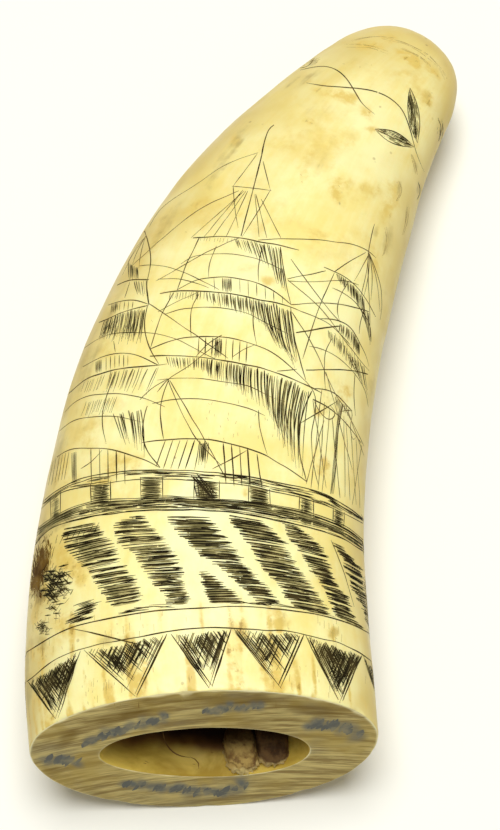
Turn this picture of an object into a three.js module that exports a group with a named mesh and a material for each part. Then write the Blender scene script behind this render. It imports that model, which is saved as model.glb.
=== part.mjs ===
// A scrimshaw sperm-whale tooth, lying on its broad side as it was found.
//
// Millimetres, +Z up. The sawn root faces -Y and leans back a little, the crown
// points to +Y and curls to +X, and the engraved broad side looks up. The origin is
// the middle of the underside. The tooth is one piece of dentine: a swept body of
// oval sections, a flat sawn root, and the pulp hollow that opens in the saw cut,
// with two pulp stones grown on its floor.

import * as THREE from 'three';

// ---- named sizes -----------------------------------------------------------

// The spine, seen from above, is one cubic curve from the root to the crown.
const SPINE_LENGTH = 169.0; // run of the spine along +Y
const SPINE = [
  [0, 0],
  [-3.0, 0.316],
  [7.4, 0.66],
  [59.7, 1.0],
]; // x in mm, y as a share of SPINE_LENGTH

// Half the width of the section, from the root (0) to the crown (1).
const WIDTH_AT = [0, 0.07, 0.2, 0.4, 0.6, 0.78, 0.9, 1.0];
const HALF_WIDTH = [34.0, 34.4, 33.9, 32.3, 29.6, 24.1, 19.2, 22.1];

// Height of the section above and below its widest line.
const DEPTH_AT = [0, 0.5, 1.0];
const UPPER_DEPTH = [21.1, 20.1, 11.7];
const LOWER_DEPTH = [25.7, 22.5, 14.3];

const CROWN_START = 0.844; // where the blunt crown starts to round over
const CROWN_POWER = 2.19;
const CROWN_LIFT = 0.5; // how far the crown end stands off the table

const SAW_LEAN = 14.2; // degrees that the saw cut leans back from upright
const SAW_FADE = 0.8; // the sections are upright again here
const SAW_BLEND = 0.3; // the sections are square to the spine from here

const REST_WEAR = 0.35; // depth of the flat worn on the underside

// The pulp hollow, in the plane of the saw cut.
const HOLLOW_HALF_WIDTH = 20.5;
const HOLLOW_HALF_HEIGHT = 9.9;
const HOLLOW_DROP = 2.8; // its middle lies below the middle of the cut
const HOLLOW_SKEW = -0.045; // its floor falls away to the right
const HOLLOW_DEPTH = 58.0;
const HOLLOW_TAPER = 0.72;

// Pulp stones on the floor of the hollow: u is across, d is depth from the cut.
const STONES = [
  { u: 7.2, d: 5.2, half: 3.9, length: 5.6, rise: 5.2 },
  { u: 13.6, d: 5.6, half: 3.6, length: 5.4, rise: 4.6 },
];

// Sets the origin under the middle of the whole tooth.
const SHIFT_X = -15.2;
const SHIFT_Y = -83.4;

// Mesh density.
const AROUND = 72;
const BODY_ROWS = 24;
const CROWN_ROWS = 10;
const FACE_ROWS = 2;
const HOLLOW_ROWS = 14;

// ---- curves ----------------------------------------------------------------

// A natural cubic spline through the given stations.
function spline(xs, ys) {
  const n = xs.length;
  const m = new Array(n).fill(0);
  const c = new Array(n).fill(0);
  const d = new Array(n).fill(0);
  for (let i = 1; i < n - 1; i++) {
    const h0 = xs[i] - xs[i - 1];
    const h1 = xs[i + 1] - xs[i];
    const rhs = 6 * ((ys[i + 1] - ys[i]) / h1 - (ys[i] - ys[i - 1]) / h0);
    const w = 2 * (h0 + h1) - h0 * c[i - 1];
    c[i] = h1 / w;
    d[i] = (rhs - h0 * d[i - 1]) / w;
  }
  for (let i = n - 2; i > 0; i--) m[i] = d[i] - c[i] * m[i + 1];
  return (x) => {
    let i = 0;
    while (i < n - 2 && x > xs[i + 1]) i++;
    const h = xs[i + 1] - xs[i];
    const a = (xs[i + 1] - x) / h;
    const b = (x - xs[i]) / h;
    return a * ys[i] + b * ys[i + 1] + (((a * a * a - a) * m[i] + (b * b * b - b) * m[i + 1]) * h * h) / 6;
  };
}

const halfWidth = spline(WIDTH_AT, HALF_WIDTH);
const upperDepth = spline(DEPTH_AT, UPPER_DEPTH);
const lowerDepth = spline(DEPTH_AT, LOWER_DEPTH);
const controls = SPINE.map(([x, y]) => new THREE.Vector2(x, y * SPINE_LENGTH));
const spine = new THREE.CubicBezierCurve(...controls);

// The middle of the section at t, and its across and up directions.
function frameAt(t) {
  const p = spine.getPoint(t);
  const tangent = spine.getTangent(Math.min(t, 0.9999));
  const heading = Math.atan2(tangent.x, tangent.y);
  const w = Math.max(0, 1 - t / SAW_BLEND);
  const yaw = heading * (1 - w * w * (3 - 2 * w));
  const lean = THREE.MathUtils.degToRad(SAW_LEAN) * Math.max(0, 1 - t / SAW_FADE);
  const across = new THREE.Vector3(Math.cos(yaw), -Math.sin(yaw), 0);
  const along = new THREE.Vector3(Math.sin(yaw), Math.cos(yaw), 0);
  const up = new THREE.Vector3(0, 0, Math.cos(lean)).addScaledVector(along, Math.sin(lean));
  const height = lowerDepth(t) * Math.cos(lean) + CROWN_LIFT * t * t - REST_WEAR;
  const middle = new THREE.Vector3(p.x + SHIFT_X, p.y + SHIFT_Y, height);
  return { middle, across, up };
}

function place(frame, u, v) {
  return frame.middle.clone().addScaledVector(frame.across, u).addScaledVector(frame.up, v);
}

// ---- the three surfaces of the tooth -----------------------------------------

// The outside, at t along the spine and angle a around it.
function outside(t, a) {
  const over = THREE.MathUtils.clamp((t - CROWN_START) / (1 - CROWN_START), 0, 1);
  const close = Math.max(0, 1 - over ** CROWN_POWER) ** (1 / CROWN_POWER);
  const u = Math.cos(a) * halfWidth(t) * close;
  const depth = Math.sin(a) >= 0 ? upperDepth(t) : lowerDepth(t);
  const p = place(frameAt(t), u, Math.sin(a) * depth * close);
  p.z = Math.max(0, p.z); // the worn flat that it rests on
  return p;
}

// The wall of the pulp hollow, at depth d behind the saw cut.
function hollowSection(d, a) {
  const s = d / HOLLOW_DEPTH;
  const k = Math.max(0, 1 - s) ** HOLLOW_TAPER;
  let u = Math.cos(a) * HOLLOW_HALF_WIDTH * k;
  let v = Math.sin(a) * HOLLOW_HALF_HEIGHT * k;
  if (v < 0) v *= 1 - (HOLLOW_SKEW * u) / HOLLOW_HALF_WIDTH * 3;
  v += HOLLOW_SKEW * u - HOLLOW_DROP * (1 - s);
  return { u, v };
}

function hollow(d, a) {
  let { u, v } = hollowSection(d, a);
  if (Math.sin(a) < 0) {
    let rise = 0;
    for (const stone of STONES) {
      const r2 = ((u - stone.u) / stone.half) ** 2 + ((d - stone.d) / stone.length) ** 2;
      if (r2 < 1) rise = Math.max(rise, stone.rise * (1 - r2 * r2));
    }
    v += rise * Math.min(1, d / 1.2);
  }
  return place(frameAt(d / SPINE_LENGTH), u, v);
}

// The saw cut, from its rim (k = 0) to the mouth of the hollow (k = 1).
function sawCut(k, a) {
  return outside(0, a).lerp(hollow(0, a), k);
}

// ---- one closed skin ---------------------------------------------------------

// Rings from the crown over the outside, across the saw cut and into the hollow.
const rings = [];
for (let i = 0; i <= CROWN_ROWS; i++) {
  const over = Math.cos(((i / CROWN_ROWS) * Math.PI) / 2);
  const t = CROWN_START + (1 - CROWN_START) * over;
  rings.push((a) => outside(t, a));
}
for (let i = 1; i <= BODY_ROWS; i++) {
  const t = CROWN_START * (1 - i / BODY_ROWS);
  rings.push((a) => outside(t, a));
}
for (let i = 1; i <= FACE_ROWS; i++) {
  const k = i / FACE_ROWS;
  rings.push((a) => sawCut(k, a));
}
for (let i = 1; i <= HOLLOW_ROWS; i++) {
  const s = i / HOLLOW_ROWS;
  const d = HOLLOW_DEPTH * (0.55 * s + 0.45 * s * s);
  rings.push((a) => hollow(Math.min(d, HOLLOW_DEPTH), a));
}

// A sphere has the same skin: one pole is the crown, and the other is the far end of
// the hollow. Each of its rings is laid on one of the tooth's.
const geometry = new THREE.SphereGeometry(1, AROUND, rings.length - 1);
const position = geometry.getAttribute('position');
for (let i = 0; i < position.count; i++) {
  const ring = Math.floor(i / (AROUND + 1));
  const column = (i % (AROUND + 1)) % AROUND;
  const a = -(column / AROUND) * 2 * Math.PI; // clockwise, so that the faces look outwards
  const p = rings[ring](a);
  position.setXYZ(i, p.x, p.y, p.z);
}
geometry.deleteAttribute('uv');
geometry.computeVertexNormals();

const dentine = new THREE.MeshStandardMaterial({
  color: 0xe9d590,
  roughness: 0.38,
  metalness: 0,
});

const tooth = new THREE.Mesh(geometry, dentine);
tooth.name = 'tooth';

const group = new THREE.Group();
group.name = 'scrimshaw_whale_tooth';
group.add(tooth);

export default group;
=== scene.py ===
"""A scrimshaw whale tooth on a pale table: fine relief, engraving, materials, light and camera.

The shape is the CAD tooth's own, from the same named sizes, as one dense closed mesh in
millimetres that is scaled to metres when it is made. The engraving is geometry: each cut is
a thin closed wedge set into the surface. Cuts on the engraved side are laid out in the
picture plane of the camera and cast onto the tooth. Those on the hidden side are laid out
along and around the tooth.
"""

import math

import bpy
import numpy as np
from mathutils import Matrix, Vector
from mathutils.bvhtree import BVHTree
from mathutils.kdtree import KDTree


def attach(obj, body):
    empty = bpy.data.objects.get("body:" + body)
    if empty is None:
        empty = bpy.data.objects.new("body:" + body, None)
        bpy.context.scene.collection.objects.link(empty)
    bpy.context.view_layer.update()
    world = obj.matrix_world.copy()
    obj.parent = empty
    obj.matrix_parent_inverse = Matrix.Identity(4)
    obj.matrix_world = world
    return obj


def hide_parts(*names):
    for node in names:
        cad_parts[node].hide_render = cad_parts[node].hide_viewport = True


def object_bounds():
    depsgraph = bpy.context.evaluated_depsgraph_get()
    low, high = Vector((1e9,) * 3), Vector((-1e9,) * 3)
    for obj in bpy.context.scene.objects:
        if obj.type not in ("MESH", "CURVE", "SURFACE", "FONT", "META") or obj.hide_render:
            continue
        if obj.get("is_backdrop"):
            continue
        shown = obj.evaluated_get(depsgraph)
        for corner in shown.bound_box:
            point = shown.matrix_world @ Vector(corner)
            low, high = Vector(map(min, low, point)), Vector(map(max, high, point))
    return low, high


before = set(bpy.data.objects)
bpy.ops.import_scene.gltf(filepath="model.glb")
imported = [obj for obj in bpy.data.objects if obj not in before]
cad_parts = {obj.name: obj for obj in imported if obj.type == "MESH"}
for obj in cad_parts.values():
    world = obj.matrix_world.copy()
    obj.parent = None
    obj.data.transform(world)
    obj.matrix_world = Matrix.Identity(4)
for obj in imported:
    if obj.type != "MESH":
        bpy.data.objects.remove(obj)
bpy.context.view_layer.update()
rng = np.random.default_rng(1851)
MM = 0.001

# ---------------------------------------------------------------- shape, in mm

SPINE_LENGTH = 169.0
SPINE = np.array([[0, 0], [-3.0, 0.316], [7.4, 0.66], [59.7, 1.0]]) * [1, SPINE_LENGTH]
CROWN_START, CROWN_POWER, CROWN_LIFT = 0.844, 2.19, 0.5
SAW_LEAN, SAW_FADE, SAW_BLEND = math.radians(14.2), 0.8, 0.3
REST_WEAR = 0.35
HOLLOW_HALF_WIDTH, HOLLOW_HALF_HEIGHT = 20.5, 9.9
HOLLOW_DROP, HOLLOW_SKEW = 2.8, -0.045
HOLLOW_DEPTH, HOLLOW_TAPER = 58.0, 0.72
SHIFT = np.array([-15.2, -83.4, 0.0])


def natural(xs, ys):
    """A natural cubic spline through the given stations."""
    xs, ys = np.array(xs, float), np.array(ys, float)
    n = len(xs)
    a, b = np.eye(n), np.zeros(n)
    for i in range(1, n - 1):
        h0, h1 = xs[i] - xs[i - 1], xs[i + 1] - xs[i]
        a[i, i - 1], a[i, i], a[i, i + 1] = h0, 2 * (h0 + h1), h1
        b[i] = 6 * ((ys[i + 1] - ys[i]) / h1 - (ys[i] - ys[i - 1]) / h0)
    m = np.linalg.solve(a, b)

    def at(x):
        x = np.asarray(x, float)
        i = np.clip(np.searchsorted(xs, x, side="right") - 1, 0, n - 2)
        h = xs[i + 1] - xs[i]
        p, q = (xs[i + 1] - x) / h, (x - xs[i]) / h
        return p * ys[i] + q * ys[i + 1] + ((p**3 - p) * m[i] + (q**3 - q) * m[i + 1]) * h * h / 6

    return at


half_width = natural([0, 0.07, 0.2, 0.4, 0.6, 0.78, 0.9, 1.0], [34.0, 34.4, 33.9, 32.3, 29.6, 24.1, 19.2, 22.1])
upper_depth = natural([0, 0.5, 1.0], [21.1, 20.1, 11.7])
lower_depth = natural([0, 0.5, 1.0], [25.7, 22.5, 14.3])


def frames(t):
    """The middle of the section at t, and its across and up directions."""
    t = np.asarray(t, float)
    s = 1 - t
    w = np.stack([s**3, 3 * s * s * t, 3 * s * t * t, t**3], -1)
    p = w @ SPINE
    tc = np.minimum(t, 0.9999)
    sc = 1 - tc
    dw = np.stack([3 * sc * sc, 6 * sc * tc, 3 * tc * tc], -1)
    d = dw @ np.diff(SPINE, axis=0)
    blend = np.clip(1 - t / SAW_BLEND, 0, 1)
    yaw = np.arctan2(d[..., 0], d[..., 1]) * (1 - blend * blend * (3 - 2 * blend))
    lean = SAW_LEAN * np.clip(1 - t / SAW_FADE, 0, 1)
    zero = np.zeros_like(yaw)
    across = np.stack([np.cos(yaw), -np.sin(yaw), zero], -1)
    along = np.stack([np.sin(yaw), np.cos(yaw), zero], -1)
    up = np.stack([zero, zero, np.cos(lean)], -1) + along * np.sin(lean)[..., None]
    z = lower_depth(t) * np.cos(lean) + CROWN_LIFT * t * t - REST_WEAR
    return np.stack([p[..., 0] + SHIFT[0], p[..., 1] + SHIFT[1], z], -1), across, up


def place(t, u, v):
    middle, across, up = frames(t)
    return middle + across * u[..., None] + up * v[..., None]


def outside(t, a):
    t, a = np.broadcast_arrays(np.asarray(t, float), np.asarray(a, float))
    over = np.clip((t - CROWN_START) / (1 - CROWN_START), 0, 1)
    close = np.maximum(0, 1 - over**CROWN_POWER) ** (1 / CROWN_POWER)
    depth = np.where(np.sin(a) >= 0, upper_depth(t), lower_depth(t))
    return place(t, np.cos(a) * half_width(t) * close, np.sin(a) * depth * close)


def hollow(d, a):
    d, a = np.broadcast_arrays(np.asarray(d, float), np.asarray(a, float))
    s = np.clip(d / HOLLOW_DEPTH, 0, 1)
    k = (1 - s) ** HOLLOW_TAPER
    u = np.cos(a) * HOLLOW_HALF_WIDTH * k
    v = np.sin(a) * HOLLOW_HALF_HEIGHT * k
    v = np.where(v < 0, v * (1 - HOLLOW_SKEW * u / HOLLOW_HALF_WIDTH * 3), v)
    v = v + HOLLOW_SKEW * u - HOLLOW_DROP * (1 - s)
    return place(d / SPINE_LENGTH, u, v)


# ---------------------------------------------------------------- noise


def hashed(ix, iy, iz, seed):
    h = (
        ix.astype(np.int64) * 374761393
        + iy.astype(np.int64) * 668265263
        + iz.astype(np.int64) * 1440662683
        + seed * 974634777
    ) & 0xFFFFFFFF
    h = ((h ^ (h >> 13)) * 1274126177) & 0xFFFFFFFF
    h = ((h ^ (h >> 16)) * 2246822519) & 0xFFFFFFFF
    return ((h ^ (h >> 15)) & 0xFFFFFF) / float(0xFFFFFF)


def noise(p, seed=0):
    """Smooth value noise in -1..1 at points (..., 3)."""
    p = np.asarray(p, float)
    i = np.floor(p)
    f = p - i
    f = f * f * f * (f * (f * 6 - 15) + 10)
    out = 0
    for dx in (0, 1):
        for dy in (0, 1):
            for dz in (0, 1):
                w = (
                    (f[..., 0] if dx else 1 - f[..., 0])
                    * (f[..., 1] if dy else 1 - f[..., 1])
                    * (f[..., 2] if dz else 1 - f[..., 2])
                )
                out = out + w * hashed(i[..., 0] + dx, i[..., 1] + dy, i[..., 2] + dz, seed)
    return out * 2 - 1


def fbm(p, seed=0, octaves=4, rough=0.5):
    out, amp, total = 0, 1.0, 0.0
    p = np.asarray(p, float)
    for k in range(octaves):
        out = out + amp * noise(p * 2.0**k + 17.3 * k, seed + k)
        total += amp
        amp *= rough
    return out / total


def smooth(lo, hi, x):
    x = np.clip((np.asarray(x, float) - lo) / (hi - lo), 0, 1)
    return x * x * (3 - 2 * x)


# ---------------------------------------------------------------- camera, first

FRAME_W, FRAME_H = 500, 830
FOV = math.radians(25.276)  # over the frame's long side
ELEV, AZIM, ROLL = math.radians(65.583), math.radians(0.737), math.radians(-2.350)
TARGET = np.array([12.489, 74.647, 15.0 - REST_WEAR]) + SHIFT
DISTANCE = 399.831

cam_fwd = np.array([math.sin(AZIM) * math.cos(ELEV), math.cos(AZIM) * math.cos(ELEV), -math.sin(ELEV)])
flat_right = np.array([math.cos(AZIM), -math.sin(AZIM), 0.0])
flat_up = np.cross(flat_right, cam_fwd)
cam_right = flat_right * math.cos(ROLL) + flat_up * math.sin(ROLL)
cam_up = -flat_right * math.sin(ROLL) + flat_up * math.cos(ROLL)
cam_pos = TARGET - cam_fwd * DISTANCE
FOCAL = FRAME_H / 2 / math.tan(FOV / 2)


def to_px(p):
    """Points in mm to the picture plane."""
    d = np.asarray(p, float) - cam_pos
    z = d @ cam_fwd
    return np.stack([FRAME_W / 2 + FOCAL * (d @ cam_right) / z, FRAME_H / 2 - FOCAL * (d @ cam_up) / z], -1)


camera_data = bpy.data.cameras.new("camera")
camera_data.sensor_width = 36.0
camera_data.sensor_fit = "AUTO"
camera_data.lens = 18.0 / math.tan(FOV / 2)
camera_data.clip_start = 0.01
camera_data.clip_end = 20.0
camera = bpy.data.objects.new("camera", camera_data)
bpy.context.scene.collection.objects.link(camera)
turn = Matrix((cam_right, cam_up, -cam_fwd)).transposed().to_4x4()
camera.matrix_world = Matrix.Translation(Vector(cam_pos * MM)) @ turn
bpy.context.scene.camera = camera

# ---------------------------------------------------------------- the dense tooth

COLUMNS = 280
CROWN_ROWS, BODY_ROWS, RIM_ROWS, FACE_ROWS, MOUTH_ROWS, HOLLOW_ROWS = 34, 206, 6, 24, 4, 44

angle = -np.arange(COLUMNS) / COLUMNS * 2 * math.pi
ring = np.stack([np.cos(angle), np.sin(angle), np.zeros(COLUMNS)], -1)


def rim_point(px, py):
    """The angle round the tooth of the rim point nearest to a place in the picture."""
    d = to_px(outside(0.0, angle)) - [px, py]
    return angle[int(np.argmin((d**2).sum(-1)))]


def round_gap(a, b):
    """Distance in mm along the rim, roughly, between angles."""
    d = np.abs((a - b + math.pi) % (2 * math.pi) - math.pi)
    return d * 28.0


# The worn rim: a rounding that varies, with a few small chips.
wear = 0.55 + 0.3 * fbm(ring * 5, 3, 3) + 0.25 * np.maximum(0, fbm(ring * 14, 5, 3))
CHIPS = [  # place in the picture, half length in mm, depth in mm
    (188, 693, 1.3, 1.3),
    (183, 694, 0.7, 0.9),
    (160, 696, 1.4, 0.6),
    (214, 693, 0.9, 0.4),
    (252, 692, 1.6, 0.45),
    (99, 703, 2.0, 0.5),
    (316, 699, 1.6, 0.5),
    (60, 722, 1.8, 0.6),
    (358, 714, 2.2, 0.7),
    (205, 807, 2.0, 0.5),
    (118, 803, 2.4, 0.6),
    (300, 793, 1.7, 0.5),
]
for cx, cy, half, deep in CHIPS:
    gap = round_gap(angle, rim_point(cx, cy))
    wear = wear + deep * np.clip(1 - (gap / half) ** 2, 0, 1)
wear = np.maximum(0.25, wear)
t_rim = wear / 160.5  # the spine runs 160.5 mm per unit of t at the root

corner = outside(0.0, angle)
mouth = hollow(0.0, angle)
inward = mouth - corner
reach = np.linalg.norm(inward, axis=-1, keepdims=True)
inward = inward / reach
lip = 0.35 + 0.15 * fbm(ring * 6, 9, 3)  # rounding of the hollow's edge

rows, t_of, region = [], [], []  # positions, station, 0 outside, 1 saw cut, 2 hollow
for i in range(1, CROWN_ROWS + 1):
    over = math.cos(i / CROWN_ROWS * math.pi / 2)
    t = np.full(COLUMNS, CROWN_START + (1 - CROWN_START) * over)
    rows.append(outside(t, angle))
    t_of.append(t)
    region.append(0)
for i in range(1, BODY_ROWS + 1):
    t = CROWN_START + (t_rim - CROWN_START) * (i / BODY_ROWS)
    rows.append(outside(t, angle))
    t_of.append(t)
    region.append(0)
edge_a, edge_b = rows[-1], corner + inward * wear[:, None]
for i in range(1, RIM_ROWS + 1):
    k = i / RIM_ROWS
    rows.append((1 - k) ** 2 * edge_a + 2 * k * (1 - k) * corner + k * k * edge_b)
    t_of.append(np.zeros(COLUMNS))
    region.append(0 if k < 0.6 else 1)
edge_c = mouth - inward * lip[:, None]
for i in range(1, FACE_ROWS + 1):
    k = i / FACE_ROWS
    rows.append(edge_b * (1 - k) + edge_c * k)
    t_of.append(np.zeros(COLUMNS))
    region.append(1)
edge_d = hollow(lip, angle)
for i in range(1, MOUTH_ROWS + 1):
    k = i / MOUTH_ROWS
    rows.append((1 - k) ** 2 * edge_c + 2 * k * (1 - k) * mouth + k * k * edge_d)
    t_of.append(np.zeros(COLUMNS))
    region.append(1 if k < 0.7 else 2)
for i in range(1, HOLLOW_ROWS):
    s = i / HOLLOW_ROWS
    d = lip + (HOLLOW_DEPTH - lip) * (0.35 * s + 0.65 * s * s)
    rows.append(hollow(d, angle))
    t_of.append(d / SPINE_LENGTH)
    region.append(2)

grid = np.array(rows)  # (rows, columns, 3)
t_of = np.array(t_of)
region = np.array(region)
crown_tip = outside(1.0, 0.0)
hollow_end = hollow(HOLLOW_DEPTH, 0.0)
N_ROWS = len(grid)


def grid_normals(g):
    """Outward normals of the grid, from its rows and columns."""
    along = np.empty_like(g)
    along[1:-1] = g[2:] - g[:-2]
    along[0] = g[1] - g[0]
    along[-1] = g[-1] - g[-2]
    around = np.roll(g, -1, 1) - np.roll(g, 1, 1)
    n = np.cross(along, around)
    return n / np.maximum(np.linalg.norm(n, axis=-1, keepdims=True), 1e-9)


normals = grid_normals(grid)
# Outwards on the body: away from the middle of its section.
probe = CROWN_ROWS + BODY_ROWS // 2
if ((grid[probe] - grid[probe].mean(0)) * normals[probe]).sum() < 0:
    normals = -normals

skin_uv = np.empty_like(grid)  # a seamless coordinate that runs along the tooth
skin_uv[..., 0] = ring[None, :, 0]
skin_uv[..., 1] = ring[None, :, 1]
skin_uv[..., 2] = t_of * 8.0

out_mask = (region == 0)[:, None]
cut_mask = (region == 1)[:, None]
hol_mask = (region == 2)[:, None]

# Outside: a hand-scraped and polished skin, never quite even.
relief = np.zeros(grid.shape[:2])
body = 0.32 * fbm(grid / 26.0, 11, 3) + 0.07 * fbm(grid / 7.0, 15, 3)
ribs = 0.05 * fbm(skin_uv * [9, 9, 1.2], 21, 3)
relief += np.where(out_mask, body + ribs, 0)
# The growth ridges below the crown, worn nearly away.
ridge = np.sin(t_of * 8 * 16 + 2.5 * fbm(grid / 15.0, 31, 2)) * smooth(0.86, 0.93, t_of)
relief += np.where(out_mask, 0.05 * ridge, 0)

# Saw cut: tooth marks that run nearly level, a shallow step or two.
face_u = np.array([1.0, 0.0, 0.0])
face_v = np.array([0.0, math.sin(SAW_LEAN), math.cos(SAW_LEAN)])
face_n = np.array([0.0, -math.cos(SAW_LEAN), math.sin(SAW_LEAN)])
face_mid = frames(0.0)[0]
fu = (grid - face_mid) @ face_u
fv = (grid - face_mid) @ face_v
saw_s = fu * math.cos(0.05) + fv * math.sin(0.05)
saw_r = -fu * math.sin(0.05) + fv * math.cos(0.05) + 0.0045 * fu * fu
saw = np.stack([saw_s / 30.0, saw_r / 1.3, np.zeros_like(saw_s)], -1)
saw_relief = 0.07 * fbm(saw, 41, 3) + 0.10 * noise(np.stack([saw_s / 40.0, saw_r / 7.0, np.zeros_like(saw_s)], -1), 44)
relief += np.where(cut_mask, saw_relief, 0)

# Hollow: a grown wall, softly lumpy.
relief += np.where(hol_mask, 0.35 * fbm(grid / 9.0, 51, 3) + 0.10 * fbm(grid / 2.2, 55, 2), 0)

# No relief where two regions meet, apart from the rim's own crumbling.
fade = np.ones(N_ROWS)
for i in range(1, N_ROWS):
    if region[i] != region[i - 1]:
        for j in range(-3, 4):
            if 0 <= i + j < N_ROWS:
                fade[i + j] = min(fade[i + j], (abs(j) + 1) / 5)
rim_row = CROWN_ROWS + BODY_ROWS + RIM_ROWS // 2
crumble = np.exp(-(((np.arange(N_ROWS) - rim_row) / 3.0) ** 2))[:, None]
relief = relief * fade[:, None] + crumble * 0.10 * fbm(grid / 1.6, 61, 3) * (wear[None] > 0.7)
grid = grid + normals * relief[..., None]
grid[..., 2] = np.maximum(grid[..., 2], 0.0)  # the flat it rests on

vertices = np.concatenate([crown_tip.reshape(1, 3), grid.reshape(-1, 3), hollow_end.reshape(1, 3)])
first = 1 + np.arange(N_ROWS) * COLUMNS
j0 = np.arange(COLUMNS)
j1 = (j0 + 1) % COLUMNS
quads = np.concatenate(
    [np.stack([first[i] + j0, first[i + 1] + j0, first[i + 1] + j1, first[i] + j1], -1) for i in range(N_ROWS - 1)]
)
cap_a = np.stack([np.zeros(COLUMNS, int), first[0] + j0, first[0] + j1], -1)
cap_b = np.stack([np.full(COLUMNS, len(vertices) - 1), first[-1] + j1, first[-1] + j0], -1)
quad_region = np.repeat(region[1:], COLUMNS)


def signed_volume(v, faces):
    a, b, c = v[faces[:, 0]], v[faces[:, 1]], v[faces[:, 2]]
    return float(np.einsum("ij,ij->i", a, np.cross(b, c)).sum() / 6)


triangles = np.concatenate([quads[:, [0, 1, 2]], quads[:, [0, 2, 3]], cap_a, cap_b])
if signed_volume(vertices, triangles) < 0:
    quads, cap_a, cap_b = quads[:, ::-1], cap_a[:, ::-1], cap_b[:, ::-1]
    triangles = triangles[:, ::-1]

surface = BVHTree.FromPolygons(vertices.tolist(), triangles.tolist(), epsilon=0.0)


def new_mesh(name, verts_mm, faces, smooth_faces=True):
    """A mesh object in metres from mm points and a list of faces or an array."""
    mesh = bpy.data.meshes.new(name)
    mesh.from_pydata((np.asarray(verts_mm) * MM).tolist(), [], [list(map(int, f)) for f in faces])
    mesh.polygons.foreach_set("use_smooth", np.full(len(mesh.polygons), smooth_faces))
    mesh.update()
    obj = bpy.data.objects.new(name, mesh)
    bpy.context.scene.collection.objects.link(obj)
    return obj


tooth = new_mesh("tooth_skin", vertices, quads.tolist() + cap_a.tolist() + cap_b.tolist())
slots = np.concatenate([quad_region, np.zeros(COLUMNS, int), np.full(COLUMNS, 2)])
tooth.data.polygons.foreach_set("material_index", slots.astype(np.int32))
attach(tooth, "root")
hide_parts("tooth")


def spread(values, tip, end):
    """A per-vertex value from a per-grid one."""
    return np.concatenate([[tip], np.asarray(values, float).reshape(-1), [end]]).astype(np.float32)


def write_value(obj, name, values):
    layer = obj.data.attributes.new(name, "FLOAT", "POINT")
    layer.data.foreach_set("value", values)


# ---------------------------------------------------------------- casting


def ray_dirs(px):
    px = np.asarray(px, float)
    d = (
        cam_fwd
        + cam_right * ((px[..., 0:1] - FRAME_W / 2) / FOCAL)
        + cam_up * ((FRAME_H / 2 - px[..., 1:2]) / FOCAL)
    )
    return d / np.linalg.norm(d, axis=-1, keepdims=True)


def cast(px):
    """Points, normals and triangle numbers where the rays through px meet the tooth; number -1 for a miss."""
    origin = Vector(cam_pos)
    points, norms, hits = [], [], []
    for d in ray_dirs(px):
        loc, nor, idx, _ = surface.ray_cast(origin, Vector(d))
        if loc is None or nor.dot(Vector(d)) > -0.03:
            points.append((0, 0, 0))
            norms.append((0, 0, 1))
            hits.append(-1)
        else:
            points.append(loc[:])
            norms.append(nor[:])
            hits.append(idx)
    return np.array(points), np.array(norms), np.array(hits)


def on_skin(t, a):
    """Points and normals of the finished surface at stations t and angles a."""
    t, a = np.broadcast_arrays(np.asarray(t, float), np.asarray(a, float))
    e = 1e-3
    base = outside(t, a)
    n = np.cross(outside(t + e, a) - base, outside(t, a + e) - base)
    n = n / np.maximum(np.linalg.norm(n, axis=-1, keepdims=True), 1e-9)
    middle = frames(t)[0]
    n = np.where(((base - middle) * n).sum(-1, keepdims=True) < 0, -n, n)
    points, norms = [], []
    for p, m in zip(base.reshape(-1, 3), n.reshape(-1, 3)):
        loc, nor, idx, _ = surface.ray_cast(Vector(p + m * 4.0), Vector(-m))
        points.append(loc[:] if loc is not None else tuple(p))
        norms.append(nor[:] if loc is not None else tuple(m))
    return np.array(points), np.array(norms)


# ---------------------------------------------------------------- cuts


class Ink:
    """Cuts gathered into one piece, each a thin closed wedge set into the surface."""

    def __init__(self, proud=0.02):
        self.v, self.f, self.n, self.marks, self.proud = [], [], 0, [], proud

    def add(self, p, n, w, depth=0.09):
        k = len(p)
        if k < 2:
            return
        way = np.gradient(p, axis=0)
        way = way / np.maximum(np.linalg.norm(way, axis=-1, keepdims=True), 1e-9)
        side = np.cross(n, way)
        side = side / np.maximum(np.linalg.norm(side, axis=-1, keepdims=True), 1e-9)
        top = p + n * self.proud
        half = side * (np.asarray(w) / 2)[:, None]
        self.v.append(np.stack([top + half, top - half, p - n * depth], 1).reshape(-1, 3))
        a = self.n + 3 * np.arange(k - 1)
        b = a + 3
        self.f.append(np.stack([a, a + 1, b + 1, a, b + 1, b], -1).reshape(-1, 3))
        self.f.append(np.stack([a + 1, a + 2, b + 2, a + 1, b + 2, b + 1], -1).reshape(-1, 3))
        self.f.append(np.stack([a + 2, a, b, a + 2, b, b + 2], -1).reshape(-1, 3))
        last = self.n + 3 * (k - 1)
        self.f.append(np.array([[self.n, self.n + 2, self.n + 1], [last, last + 1, last + 2]]))
        self.n += 3 * k
        self.marks.append(np.column_stack([p, np.asarray(w)]))

    def piece(self, name, material):
        obj = new_mesh(name, np.concatenate(self.v), np.concatenate(self.f), smooth_faces=False)
        obj.data.materials.append(material)
        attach(obj, "root")
        return obj


def curve(points, step=1.5):
    """A smooth path through places in the picture, at even steps."""
    p = np.array(points, float)
    run = np.concatenate([[0], np.cumsum(np.linalg.norm(np.diff(p, axis=0), axis=-1))])
    n = max(2, int(run[-1] / step) + 1)
    s = np.linspace(0, run[-1], n)
    if len(p) == 2:
        return p[0] + (p[1] - p[0]) * (s / run[-1])[:, None]
    return np.stack([natural(run, p[:, 0])(s), natural(run, p[:, 1])(s)], -1)


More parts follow.
